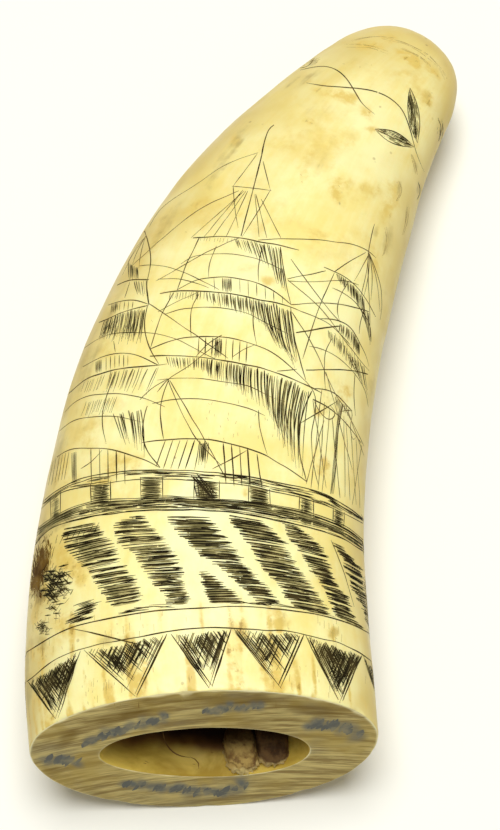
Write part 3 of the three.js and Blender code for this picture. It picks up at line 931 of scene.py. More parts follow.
# Main mast head and the standing rigging.
cut(lines, [(274, 125), (269.5, 129), (267, 134), (262, 154)], 0.30, 0.2, (0.05, 0.05))
cut(lines, [(262, 154), (253, 190)], 0.27, 0.2, (0.05, 0.05))
cut(lines, [(253, 190), (241, 236)], 0.24, 0.2, (0.05, 0.05))
cut(lines, [(232, 186.5), (252, 188), (271.5, 190.5)], 0.2)
cut(lines, [(257, 154), (233, 186.5)], 0.18, 0.2)
cut(lines, [(233, 186), (234.5, 204), (238, 228)], 0.2, 0.2)
cut(lines, [(263, 161), (270.5, 190.5)], 0.18, 0.2)
cut(lines, [(270.5, 190), (257, 213), (242, 237)], 0.24, 0.2)
for a, b in (((243, 190), (203, 238)), ((244, 191), (191, 238)), ((246, 191), (213, 237)), ((248, 191), (226, 237)), ((255, 194), (259, 237)),
             ((256, 194), (267, 238)), ((261, 199), (281, 238)), ((241, 192), (232, 206))):
    cut(lines, [a, b], 0.15, 0.2, (0.1, 0.1))
STAYS = [
    [(258, 152.5), (241, 158), (223, 166), (191, 188), (159.5, 210.5), (149, 227)],
    [(239, 191), (204, 207), (172, 230), (144, 255), (130, 268)],
    [(239, 238), (207, 252), (179, 268), (156, 281)],
    [(139, 266), (163, 266), (184, 272.5), (219, 290)],
    [(158, 279), (182, 279.5), (209, 288)],
    [(149, 304), (163, 313), (182, 326), (204, 341), (228, 358)],
    [(142, 332.5), (163, 335), (191, 346.5), (217, 360)],
    [(222, 340), (200, 357), (184, 369), (168, 379.5), (157, 392)],
    [(168, 379.5), (197, 439), (222, 466)],
    [(169.5, 380), (203, 437), (226, 478)],
    [(258, 240), (282, 239), (306, 239.2), (344, 243), (368, 251), (376, 258)],
    [(287, 279), (306, 275), (326, 271)],
    [(288, 281.5), (324, 281), (347, 281), (359, 285)],
    [(291, 259), (312, 288), (340, 322.5)],
    [(288, 280), (326, 315), (352, 350), (369, 371)],
    [(334, 272), (349, 262), (366, 252.5)],
    [(292, 312), (315, 350), (334, 391), (349, 416), (364, 446)],
    [(222, 335), (207, 345), (196, 357)],
    [(300, 311), (330, 325), (350, 345)],
    [(277, 371), (288, 370), (297, 369)],
    [(232, 357), (243, 350), (255, 345)],
    [(306, 381), (314, 394), (312, 430), (318, 485)],
    [(158, 312), (175, 303), (198, 292)],
    [(140, 400), (150, 390), (168, 379)],
]
for stay in STAYS:
    cut(lines, stay, 0.18, 0.4, (0.06, 0.10))

# -------- the vine by the crown
cut(lines, [(300, 70), (318, 66.5), (335, 69), (350, 84), (363, 104), (375, 114.5)], 0.29, 0.3)
cut(lines, [(306, 83), (325, 86), (352, 88), (380, 93), (397, 104), (406, 118), (412, 137), (416, 152), (424, 172)], 0.30, 0.3)
for a, b, bulge in (((375, 129), (414, 147), 5.6), ((410, 88), (417.5, 143), -5.4)):
    a, b = np.array(a, float), np.array(b, float)
    out = np.array([-(b - a)[1], (b - a)[0]]) / np.linalg.norm(b - a)
    for s in (-1, 1):
        cut(lines, [a, a * 0.7 + b * 0.3 + out * bulge * s * 0.85, a * 0.35 + b * 0.65 + out * bulge * s * 0.9, b], 0.27, 0.15)
    cut(lines, [a, (a + b) / 2 + out * 0.5, b], 0.2, 0.2)
    for k in range(84):
        f = rng.uniform(0.06, 0.80)
        room = abs(bulge) * math.sin(math.pi * (f + 0.07)) * 0.85
        c = a + (b - a) * f + out * rng.uniform(-1, 1) * room
        cut(wash, [c, c + (b - a) * rng.uniform(0.10, 0.18)], rng.uniform(0.3, 0.6), 0.15)
        if rng.uniform() < 0.95:
            c = a + (b - a) * f + out * np.sign(bulge) * rng.uniform(-1, 0.35) * room
            cut(hatch, [c, c + (b - a) * rng.uniform(0.08, 0.18)], rng.uniform(0.13, 0.24), 0.15)
for pts in ([(304, 66), (308, 60), (316, 56)], [(300, 68), (308, 66), (313, 61)], [(438, 118), (441, 128), (438, 142)], [(442, 121), (443, 132), (439, 146)], [(418, 182), (420, 192), (417, 200)]):
    cut(lines, pts, 0.3, 0.2)
for _ in range(26):
    a = np.array([310 + rng.normal(0, 4), 60 + rng.normal(0, 2.5)])
    cut(pale, [a, a + [rng.uniform(2, 5), rng.uniform(-3, -1)]], 0.2, 0.2)
for _ in range(16):
    a = np.array([440 + rng.normal(0, 1.5), 130 + rng.normal(0, 8)])
    cut(pale, [a, a + [rng.uniform(-1, 1), rng.uniform(2, 5)]], 0.2, 0.2)

# -------- brown specks and hair lines in the skin
specks = Ink(0.008)
for x, y, long, way in ((307, 121, 1.6, 10), (310.5, 122.6, 1.8, 10), (371.5, 65, 1.4, 60), (360, 67, 1.4, 90), (344, 64, 2.2, 20), (301, 175, 2.4, 75), (302, 182, 2.0, 70),
                        (339, 186, 2.0, 60), (340, 203, 2.6, 80), (342, 208, 1.6, 30), (337, 194, 1.4, 0), (186, 232, 1.8, 5), (190, 233, 1.2, 5), (226, 193, 1.2, 0),
                        (221, 194, 1.2, 0), (204, 541, 1.2, 20), (175, 671, 1.4, 60), (429, 96, 2.2, 30), (427, 99, 1.6, 80), (432, 93, 1.4, 10), (152, 321, 2.6, 70),
                        (172, 329, 1.6, 70), (209, 404, 1.8, 40), (86, 694, 4.5, 86), (88, 703, 3.2, 80), (284, 616, 5.0, 84), (281, 606, 4.0, 88), (331, 632, 3.0, 60),
                        (336, 638, 3.4, 40), (143, 626, 4.0, 86), (117, 624, 2.0, 0), (62, 648, 3.0, 80), (104, 662, 3.0, 84), (240, 684, 2.6, 80), (300, 668, 4.0, 84)):
    d = np.array([math.cos(math.radians(way)), math.sin(math.radians(way))]) * long / 2
    cut(specks, [(x - d[0], y - d[1]), (x + d[0], y + d[1])], rng.uniform(0.28, 0.5), 0.0, (0.4, 0.4), straight=True)
for line in ([(383, 38), (405, 43.5), (424, 54), (438, 66), (446, 79)], [(352, 41), (371, 37), (394, 38)], [(402, 49), (418, 56), (431, 66)], [(346, 45), (366, 46), (388, 52)],
             [(411, 154), (414, 163), (417, 174)], [(398, 180), (401, 190), (397, 200)], [(408, 208), (406, 222), (403, 236)], [(386, 228), (388, 242), (384, 256)]):
    for _ in range(3):
        cut(specks, np.array(line) + rng.normal(0, 0.8, 2), rng.uniform(0.07, 0.14), 0.8, (0.3, 0.4))
for _ in range(150):  # short brown grain between the sea and the root
    x = rng.choice([rng.uniform(32, 370), rng.normal(50, 10), rng.normal(90, 14), rng.normal(284, 8), rng.normal(334, 7), rng.normal(120, 20)])
    y = rng.uniform(608, 704)
    cut(specks, [(x, y), (x + rng.uniform(-0.5, 0.5), y + rng.uniform(1.5, 9))], rng.uniform(0.08, 0.24), 0.2, (0.3, 0.4))
burn = Ink(0.008)
for _ in range(820):  # the scorched patch at the left
    y = 570 + rng.normal(0, 12.5)
    x = 44 - 0.25 * (y - 550) + rng.normal(0, 3.9)
    way = math.radians(rng.choice([-72, -60, 78, 90]) + rng.uniform(-8, 8))
    d = np.array([math.cos(way), math.sin(way)]) * rng.uniform(1.0, 4.5)
    cut(burn, [(x - d[0], y - d[1]), (x + d[0], y + d[1])], rng.uniform(0.30, 0.95), 0.2, (0.3, 0.4))

# ---------------------------------------------------------------- cuts on the hidden side


def locate(line):
    """Station and angle of the first and last places of a line in the picture that lie on the tooth."""
    p, n, hit = cast(curve(line))
    found = []
    for h in (hit[hit >= 0][1], hit[hit >= 0][-2]):
        q = int(h) % len(quads)
        a = angle[q % COLUMNS]
        found.append((t_of[q // COLUMNS, q % COLUMNS], a + 2 * math.pi if a < -1.5 * math.pi else a))
    return found


def back_cut(ink, t, a, w, hand=0.0012):
    """One cut along stations and angles. It leaves out the flat that the tooth rests on."""
    t, a = np.broadcast_arrays(np.asarray(t, float), np.asarray(a, float))
    k = rng.uniform(0, 1000)
    s = np.linspace(0, 1, len(t)) * np.ptp(a) * 6
    t = t + hand * noise(np.stack([s + k, s * 0, s * 0 + k], -1), 77)
    p, n = on_skin(t, a)
    start = None
    for i in range(len(p) + 1):
        clear = i < len(p) and p[i, 2] > 0.5
        if clear and start is None:
            start = i
        elif not clear and start is not None:
            if i - start >= 2:
                lay(ink, p[start:i], n[start:i], w, (0.1, 0.2))
            start = None


def back_band(line):
    (t0, a0), (t1, a1) = locate(line)

    def at(a):
        k = np.clip((np.asarray(a, float) - a0) / (a1 - a0), 0, 1)
        return t0 + (t1 - t0) * k * k * (3 - 2 * k)

    return at, a0, a1


back = Ink()
shore_at, shore_a, shore_b = back_band(SHORE)
hem_at, hem_a, hem_b = back_band(HEM)
wale_at, wale_a, wale_b = back_band(WALE_FOOT)
rail_at, rail_a, rail_b = back_band(RAIL)
port_at, port_a, port_b = back_band(PORT_FOOT)
for at_line, a0, a1, w in ((shore_at, shore_a, shore_b, 0.25), (hem_at, hem_a, hem_b, 0.24), (wale_at, wale_a, wale_b, 0.24)):
    a = np.linspace(a0, a1, 90)
    back_cut(back, at_line(a), a, w)
# The hull runs out to a point on each side.
for side, a0, reach_to in ((0, rail_a, 0.62), (1, rail_b, -0.62)):
    a = np.linspace(a0, a0 + reach_to, 24)
    k = np.abs(a - a0) / abs(reach_to)
    for at_line, share, w in ((rail_at, 0.0, 0.24), (port_at, 0.5, 0.26)):
        back_cut(back, at_line(a) * (1 - k**2) + wale_at(a) * k**2, a, w)
    for _ in range(22):
        u = rng.uniform(0.05, 0.95)
        s0 = rng.uniform(0, 0.75)
        run = np.linspace(s0, min(1, s0 + rng.uniform(0.12, 0.4)), 6)
        aa = a0 + run * reach_to
        kk = run**2
        top = port_at(aa) * (1 - kk) + wale_at(aa) * kk
        back_cut(back, top * u + wale_at(aa) * (1 - u), aa, rng.uniform(0.18, 0.3), 0.0006)
# Level strokes of the sea, fewer and plainer.
PATCHES = 6
for k in range(PATCHES):
    a0 = wale_a + (wale_b - wale_a) * (k + 0.12) / PATCHES
    a1 = wale_a + (wale_b - wale_a) * (k + 0.72) / PATCHES
    for j in range(24):
        f = (j + rng.uniform(0.2, 0.8)) / 24
        slide = 0.30 * f
        aa = np.linspace(a0 + slide + rng.uniform(-0.03, 0.03), min(shore_b + 0.05, a1 + slide + rng.uniform(-0.05, 0.04)), 12)
        back_cut(back, wale_at(aa) * (0.93 - 0.86 * f) + shore_at(aa) * (0.07 + 0.86 * f), aa, rng.uniform(0.2, 0.36), 0.0005)
# Hanging triangles.
TRIANGLES = 6
for k in range(TRIANGLES):
    a0 = hem_a + (hem_b - hem_a) * (k + 0.06) / TRIANGLES
    a1 = hem_a + (hem_b - hem_a) * (k + 0.94) / TRIANGLES
    am = (a0 + a1) / 2
    left, right, point = np.array([hem_at(a0), a0]), np.array([hem_at(a1), a1]), np.array([0.018 + 0.004 * rng.uniform(), am])
    for edge_to in (left, right):
        q = edge_to + (point - edge_to) * np.linspace(0, 1, 12)[:, None]
        back_cut(back, q[:, 0], q[:, 1], 0.25, 0.0004)
        for _ in range(10):
            f = rng.uniform(0.08, 0.75)
            start = left + (right - left) * (f if edge_to is left else 1 - f)
            r0 = rng.uniform(0.02, 0.25) * (1 - f)
            r1 = min(0.97 * (1 - f), r0 + rng.uniform(0.3, 0.7) * (1 - f))
            q = start + (point - edge_to) * np.linspace(r0, r1, 6)[:, None]
            back_cut(back, q[:, 0], q[:, 1], rng.uniform(0.16, 0.3), 0.0004)

# ---------------------------------------------------------------- faded ink on the saw cut

ROOT_ROWS = [  # rows of short strokes: path, how many, height in the picture
    ([(82, 744), (112, 733), (140, 724), (168, 718)], 11, 15),
    ([(202, 713), (232, 708), (264, 706)], 7, 13),
    ([(308, 724), (336, 726), (362, 735)], 7, 20),
    ([(44, 758), (60, 760), (76, 762)], 4, 18),
    ([(120, 784), (160, 787), (206, 792), (250, 786)], 13, 17),
]
root_marks = Ink(0.01)
for path, count, tall in ROOT_ROWS:
    for k in range(count):
        c = along(curve(path), (k + 0.5 + rng.uniform(-0.15, 0.15)) / count)
        lean = 0.42 + rng.uniform(-0.16, 0.16)
        half = np.array([math.sin(lean), -math.cos(lean) * 0.62]) * tall * rng.uniform(0.30, 0.50)
        bow = np.array([-half[1], half[0]]) * rng.uniform(-0.15, 0.25)
        for step in range(2 if rng.uniform() < 0.6 else 1):
            mid = c + rng.normal(0, 1.0, 2) + [step * rng.uniform(3.5, 5.0), 0]
            cut(root_marks, [mid - half, mid + bow, mid + half], rng.uniform(0.8, 1.6), 0.3, (0.25, 0.35))

# ---------------------------------------------------------------- pulp stones


def stone(u0, d0, half, length, rise, floor_v, seed, crust_low):
    """A grown lump on the hollow's floor: vertices, faces, and how crusted each vertex is."""
    n_round, n_up = 72, 40
    around = np.arange(n_round) / n_round * 2 * math.pi
    up_angle = (np.arange(1, n_up) / n_up - 0.5) * math.pi
    verts = [[0.0, 0.0, -1.0]]
    for e in up_angle:
        for a in around:
            verts.append([math.cos(e) * math.cos(a), math.cos(e) * math.sin(a), math.sin(e)])
    verts.append([0.0, 0.0, 1.0])
    unit = np.array(verts)
    square = unit / np.maximum(np.abs(unit).max(-1, keepdims=True), 1e-9)
    shape = unit * 0.75 + square * 0.25
    front = np.clip(-shape[:, 1], 0, 1)
    low = smooth(0.25, -0.45, shape[:, 2] + 0.25 * noise(unit * 3, seed + 5)) * crust_low
    crust = np.clip(low * smooth(0.05, 0.6, front + 0.4 * np.abs(shape[:, 0])), 0, 1)
    size = np.array([half, length, rise * 0.5 + 0.9])
    p = shape * size
    bump = 0.32 * fbm(unit * 2.2, seed, 3) + 0.10 * fbm(unit * 7.0, seed + 1, 2)
    flakes = np.maximum(0, noise(unit * [9, 9, 11], seed + 2)) * 1.1 + 0.35 * noise(unit * 17, seed + 3)
    p = p + unit * (bump + crust * (0.20 + 1.05 * flakes))[:, None]
    for cu, cv, r, deep in ((-0.62, 0.10, 0.26, 0.7), (0.35, -0.05, 0.20, 0.5)):  # two pits in the front
        gap = ((shape[:, 0] - cu) ** 2 + (shape[:, 2] - cv) ** 2) / r**2
        p[:, 1] += np.where(front > 0.2, deep * np.clip(1 - gap, 0, 1), 0)
    q = place(np.maximum(0, (d0 + p[:, 1])) / SPINE_LENGTH, u0 + p[:, 0], floor_v + rise * 0.5 - 0.9 + p[:, 2])
    faces = [[0, 1 + (j + 1) % n_round, 1 + j] for j in range(n_round)]
    for i in range(n_up - 2):
        b = 1 + i * n_round
        for j in range(n_round):
            k = (j + 1) % n_round
            faces.append([b + j, b + k, b + n_round + k, b + n_round + j])
    b = 1 + (n_up - 2) * n_round
    faces += [[b + j, b + (j + 1) % n_round, len(q) - 1] for j in range(n_round)]
    return q, faces, crust


# ---------------------------------------------------------------- stains

px_of = to_px(grid)  # where each vertex would be in the picture
to_eye = cam_pos - grid
to_eye /= np.linalg.norm(to_eye, axis=-1, keepdims=True)
facing = smooth(0.02, 0.22, (normals * to_eye).sum(-1))
warp = np.stack([fbm(grid / 6.0, 91, 3), fbm(grid / 6.0, 92, 3)], -1)


def blob(x, y, rx, ry, turn=0.0, strength=1.0, ragged=0.45):
    """A soft-edged patch at a place in the picture, broken up by noise."""
    d = px_of - [x, y]
    c, s = math.cos(math.radians(turn)), math.sin(math.radians(turn))
    q = np.stack([(d[..., 0] * c + d[..., 1] * s) / rx, (-d[..., 0] * s + d[..., 1] * c) / ry], -1)
    q = q + warp * ragged
    return strength * smooth(1.15, 0.25, np.linalg.norm(q, axis=-1)) * facing


def spot(x, y, long_mm, wide_mm, strength, ragged=0.5):
    """A patch round a place on the skin that runs on past the edge of the picture's view."""
    centre = cast([(x, y)])[0][0]
    d = grid - centre
    q = np.stack([d[..., 1] / long_mm, np.hypot(d[..., 0], d[..., 2]) / wide_mm], -1) + warp * ragged
    return strength * smooth(1.15, 0.15, np.linalg.norm(q, axis=-1))


def most(*layers):
    return np.clip(np.maximum.reduce(layers), 0, 1)


# ---------------------------------------------------------------- materials


class Nodes:
    """A short way to write a material's nodes."""

    def __init__(self, name):
        self.material = bpy.data.materials.new(name)
        self.material.use_nodes = True
        self.tree = self.material.node_tree
        self.shader = self.tree.nodes["Principled BSDF"]
        self.output = self.tree.nodes["Material Output"]

    def node(self, kind, **inputs):
        n = self.tree.nodes.new(kind)
        for key, value in inputs.items():
            self.put(n.inputs[key.replace("_", " ")], value)
        return n

    def put(self, socket, value):
        if isinstance(value, bpy.types.NodeSocket):
            self.tree.links.new(value, socket)
        else:
            socket.default_value = value

    def at(self):
        return self.tree.nodes.new("ShaderNodeTexCoord").outputs["Object"]

    def value(self, name):
        n = self.tree.nodes.new("ShaderNodeAttribute")
        n.attribute_name = name
        return n.outputs["Fac"]

    def vector(self, name):
        n = self.tree.nodes.new("ShaderNodeAttribute")
        n.attribute_name = name
        return n.outputs["Vector"]

    def scaled(self, source, scale, offset=(0, 0, 0)):
        n = self.tree.nodes.new("ShaderNodeMapping")
        self.put(n.inputs["Vector"], source)
        n.inputs["Scale"].default_value = scale if isinstance(scale, tuple) else (scale,) * 3
        n.inputs["Location"].default_value = offset
        return n.outputs["Vector"]

    def noise(self, source, scale, detail=3.0, rough=0.5, warp=0.0):
        n = self.tree.nodes.new("ShaderNodeTexNoise")
        self.put(n.inputs["Vector"], source)
        n.inputs["Scale"].default_value = scale
        n.inputs["Detail"].default_value = detail
        n.inputs["Roughness"].default_value = rough
        n.inputs["Distortion"].default_value = warp
        return n.outputs["Fac"]

    def cells(self, source, scale, feature="F1"):
        n = self.tree.nodes.new("ShaderNodeTexVoronoi")
        n.feature = feature
        self.put(n.inputs["Vector"], source)
        n.inputs["Scale"].default_value = scale
        return n.outputs["Distance"]

    def math(self, op, a, b=None, c=None, clamp=False):
        n = self.tree.nodes.new("ShaderNodeMath")
        n.operation = op
        n.use_clamp = clamp
        for socket, value in zip(n.inputs, (a, b, c)):
            if value is not None:
                self.put(socket, value)
        return n.outputs[0]

    def ramp(self, source, lo, hi, to_lo=0.0, to_hi=1.0):
        n = self.tree.nodes.new("ShaderNodeMapRange")
        n.interpolation_type = "SMOOTHSTEP"
        for key, value in zip(("Value", "From Min", "From Max", "To Min", "To Max"), (source, lo, hi, to_lo, to_hi)):
            self.put(n.inputs[key], value)
        return n.outputs["Result"]

    def mix(self, fac, a, b, blend="MIX"):
        n = self.tree.nodes.new("ShaderNodeMix")
        n.data_type = "RGBA"
        n.blend_type = blend
        self.put(n.inputs[0], fac)
        for socket, value in ((n.inputs[6], a), (n.inputs[7], b)):
            self.put(socket, (*value, 1.0) if isinstance(value, tuple) and len(value) == 3 else value)
        return n.outputs[2]

    def bump(self, height, strength, distance_mm, normal=None):
        n = self.tree.nodes.new("ShaderNodeBump")
        self.put(n.inputs["Height"], height)
        n.inputs["Strength"].default_value = strength
        n.inputs["Distance"].default_value = distance_mm * MM
        if normal is not None:
            self.put(n.inputs["Normal"], normal)
        return n.outputs["Normal"]

    def finish(self, **sockets):
        for key, value in sockets.items():
            self.put(self.shader.inputs[key.replace("_", " ")], value)
        return self.material


def ivory_material():
    m = Nodes("ivory")
    at = m.at()
    skin = m.vector("skin")
    # The body colour: pale cream with broad honey clouds and finer mottling.
    clouds = m.noise(at, 42.0, 4.0, 0.55, 0.6)
    mottle = m.noise(at, 190.0, 4.0, 0.6)
    streaks = m.noise(m.scaled(skin, (7.0, 7.0, 0.9)), 2.0, 4.0, 0.6)
    tone = m.math("ADD", m.math("MULTIPLY", clouds, 0.6), m.math("MULTIPLY", mottle, 0.25))
    tone = m.math("ADD", tone, m.math("MULTIPLY", streaks, 0.2))
    colour = m.mix(m.ramp(tone, 0.40, 0.66), (1.0, 0.950, 0.49), (0.94, 0.79, 0.27))
    # Painted shade, partly a real yellowing: the sides darken to a deep yellow where they turn away from the camera.
    colour = m.mix(m.math("MULTIPLY", m.value("side_shade_and_yellowing"), 0.94), colour, (0.65, 0.49, 0.135))
    # Stains, and some painted shade along the edges: where each one lies is painted on the skin, and noise breaks up
    # its edge.
    grain = m.noise(at, 330.0, 5.0, 0.68)
    fibre = m.noise(m.scaled(skin, (20.0, 20.0, 2.0)), 1.0, 4.0, 0.6)
    patch = m.noise(at, 130.0, 4.0, 0.62, 0.4)
    broken = m.math("ADD", m.math("MULTIPLY", grain, 0.55), m.math("MULTIPLY", fibre, 0.40))
    broken = m.math("ADD", broken, m.math("MULTIPLY", patch, 0.75))
    broken = m.math("SUBTRACT", broken, 0.85)
    mottled = m.ramp(m.math("ADD", m.math("MULTIPLY", patch, 0.6), m.math("MULTIPLY", grain, 0.4)), 0.40, 0.61)
    stained = m.math("MULTIPLY", m.value("honey"), m.math("ADD", m.math("MULTIPLY", mottled, 0.95), 0.30))
    colour = m.mix(m.ramp(stained, 0.06, 0.85, 0.0, 0.85), colour, (0.73, 0.52, 0.11))
    burnt = m.ramp(m.math("ADD", m.math("MULTIPLY", grain, 0.55), m.math("MULTIPLY", fibre, 0.45)), 0.50, 0.64)
    colour = m.mix(m.ramp(m.math("MULTIPLY", m.value("honey"), burnt), 0.26, 0.90, 0.0, 0.80), colour, (0.40, 0.25, 0.045))
    # Olive-brown: real stains, with painted shade along the tooth's left and right edges.
    colour = m.mix(m.ramp(m.math("ADD", m.value("olive_stain_and_edge_shade"), m.math("MULTIPLY", broken, 1.2)), 0.08, 0.80, 0.0, 0.70), colour, (0.40, 0.30, 0.085))
    grime = m.ramp(m.math("ADD", m.value("umber"), m.math("MULTIPLY", broken, 1.1)), 0.22, 0.90, 0.0, 0.96)
    colour = m.mix(grime, colour, (0.075, 0.036, 0.003))
    # Pinholes and flecks.
    flecks = m.math("MULTIPLY", m.ramp(m.cells(at, 230.0), 0.05, 0.11, 1.0, 0.0), m.ramp(m.noise(at, 60.0, 2.0), 0.52, 0.66))
    colour = m.mix(m.math("MULTIPLY", flecks, 0.55), colour, (0.30, 0.17, 0.05))
    colour = m.mix(m.math("MULTIPLY", m.value("soot"), m.ramp(m.noise(at, 500.0, 3.0), 0.3, 0.65, 0.15, 0.5)), colour, (0.30, 0.26, 0.11))
    scratches = m.noise(m.scaled(at, (900.0, 90.0, 900.0)), 1.0, 3.0, 0.6)
    rough = m.ramp(m.noise(at, 120.0, 3.0), 0.3, 0.7, 0.30, 0.46)
    rough = m.math("ADD", rough, m.math("MULTIPLY", m.value("umber"), 0.2))
    normal = m.bump(scratches, 0.10, 0.06)
    normal = m.bump(m.noise(at, 900.0, 3.0), 0.10, 0.05, normal)
    return m.finish(
        Base_Color=colour,
        Roughness=rough,
        Normal=normal,
        IOR=1.54,
        Specular_IOR_Level=0.19,
        Subsurface_Weight=0.18,
        Subsurface_Radius=(1.0, 0.62, 0.28),
        Subsurface_Scale=0.0025,
    )


def sawn_material():
    m = Nodes("sawn_root")
    at = m.at()
    saw_at = m.vector("saw")
    # Saw streaks in tans, browns and greys, with ochre patches.
    coarse = m.noise(m.scaled(saw_at, (0.10, 1.0, 1.0)), 0.55, 4.0, 0.62, 0.3)
    fine = m.noise(m.scaled(saw_at, (0.07, 1.0, 1.0)), 2.4, 4.0, 0.65)
    streak = m.math("ADD", m.math("MULTIPLY", coarse, 0.6), m.math("MULTIPLY", fine, 0.4))
    colour = m.mix(m.ramp(streak, 0.40, 0.60), (0.31, 0.215, 0.066), (0.72, 0.58, 0.22))
    ochre = m.noise(at, 85.0, 3.0, 0.55, 0.5)
    colour = m.mix(m.math("MULTIPLY", m.ramp(ochre, 0.46, 0.66), 0.6), colour, (0.46, 0.32, 0.065))
    colour = m.mix(m.math("MULTIPLY", m.value("honey"), m.ramp(coarse, 0.3, 0.6, 1.0, 0.65)), colour, (0.185, 0.108, 0.010))
    grey = m.noise(m.scaled(at, (1.0, 1.0, 1.6), (0.3, 0.1, 0.2)), 60.0, 3.0, 0.5)
    colour = m.mix(m.math("MULTIPLY", m.ramp(grey, 0.52, 0.74), 0.4), colour, (0.25, 0.22, 0.14))
    # Painted highlight: a near-white line along the outer rim and the hollow's mouth.
    colour = m.mix(m.value("edge"), colour, (0.95, 0.87, 0.50))
    colour = m.mix(m.value("smudge"), colour, (0.155, 0.165, 0.145))
    rough = m.ramp(fine, 0.3, 0.7, 0.50, 0.75)
    normal = m.bump(fine, 0.45, 0.12)
    normal = m.bump(m.noise(at, 700.0, 3.0), 0.15, 0.06, normal)
    return m.finish(
        Base_Color=colour,
        Roughness=rough,
        Normal=normal,
        IOR=1.54,
        Specular_IOR_Level=0.06,
        Subsurface_Weight=0.06,
        Subsurface_Radius=(1.0, 0.6, 0.3),
        Subsurface_Scale=0.002,
    )


def pulp_material():
    m = Nodes("pulp_wall")
    at = m.at()
    clouds = m.noise(at, 95.0, 4.0, 0.6, 0.5)
    colour = m.mix(m.ramp(clouds, 0.34, 0.64), (0.72, 0.52, 0.095), (0.44, 0.285, 0.036))
    spots = m.ramp(m.cells(at, 150.0), 0.04, 0.10, 1.0, 0.0)
    colour = m.mix(m.math("MULTIPLY", spots, m.ramp(clouds, 0.45, 0.6)), colour, (0.07, 0.03, 0.012))
    # Painted shade: the wall darkens towards black the deeper it lies in the hollow.
    colour = m.mix(m.ramp(m.value("deep"), 0.0, 0.6), colour, (0.20, 0.085, 0.012))
    colour = m.mix(m.ramp(m.value("deep"), 0.25, 1.0), colour, (0.012, 0.003, 0.001))
    normal = m.bump(m.noise(at, 330.0, 4.0, 0.6), 0.35, 0.15)
    return m.finish(
        Base_Color=colour,
        Roughness=m.ramp(clouds, 0.3, 0.7, 0.34, 0.6),
        Normal=normal,
        IOR=1.54,
        Specular_IOR_Level=0.10,
        Subsurface_Weight=0.10,
        Subsurface_Radius=(1.0, 0.55, 0.2),
        Subsurface_Scale=0.002,
    )


tooth.data.materials.append(ivory_material())
tooth.data.materials.append(sawn_material())
tooth.data.materials.append(pulp_material())

skin_layer = tooth.data.attributes.new("skin", "FLOAT_VECTOR", "POINT")
skin_all = np.concatenate([[[0, 0, 8.0]], skin_uv.reshape(-1, 3), [[0, 0, 2.7]]]).astype(np.float32)
skin_layer.data.foreach_set("vector", skin_all.ravel())
saw_layer = tooth.data.attributes.new("saw", "FLOAT_VECTOR", "POINT")
saw_all = np.stack([saw_s, saw_r, np.zeros_like(saw_s)], -1).reshape(-1, 3)
saw_all = np.concatenate([[[0, 0, 0]], saw_all, [[0, 0, 0]]]).astype(np.float32)
saw_layer.data.foreach_set("vector", saw_all.ravel())

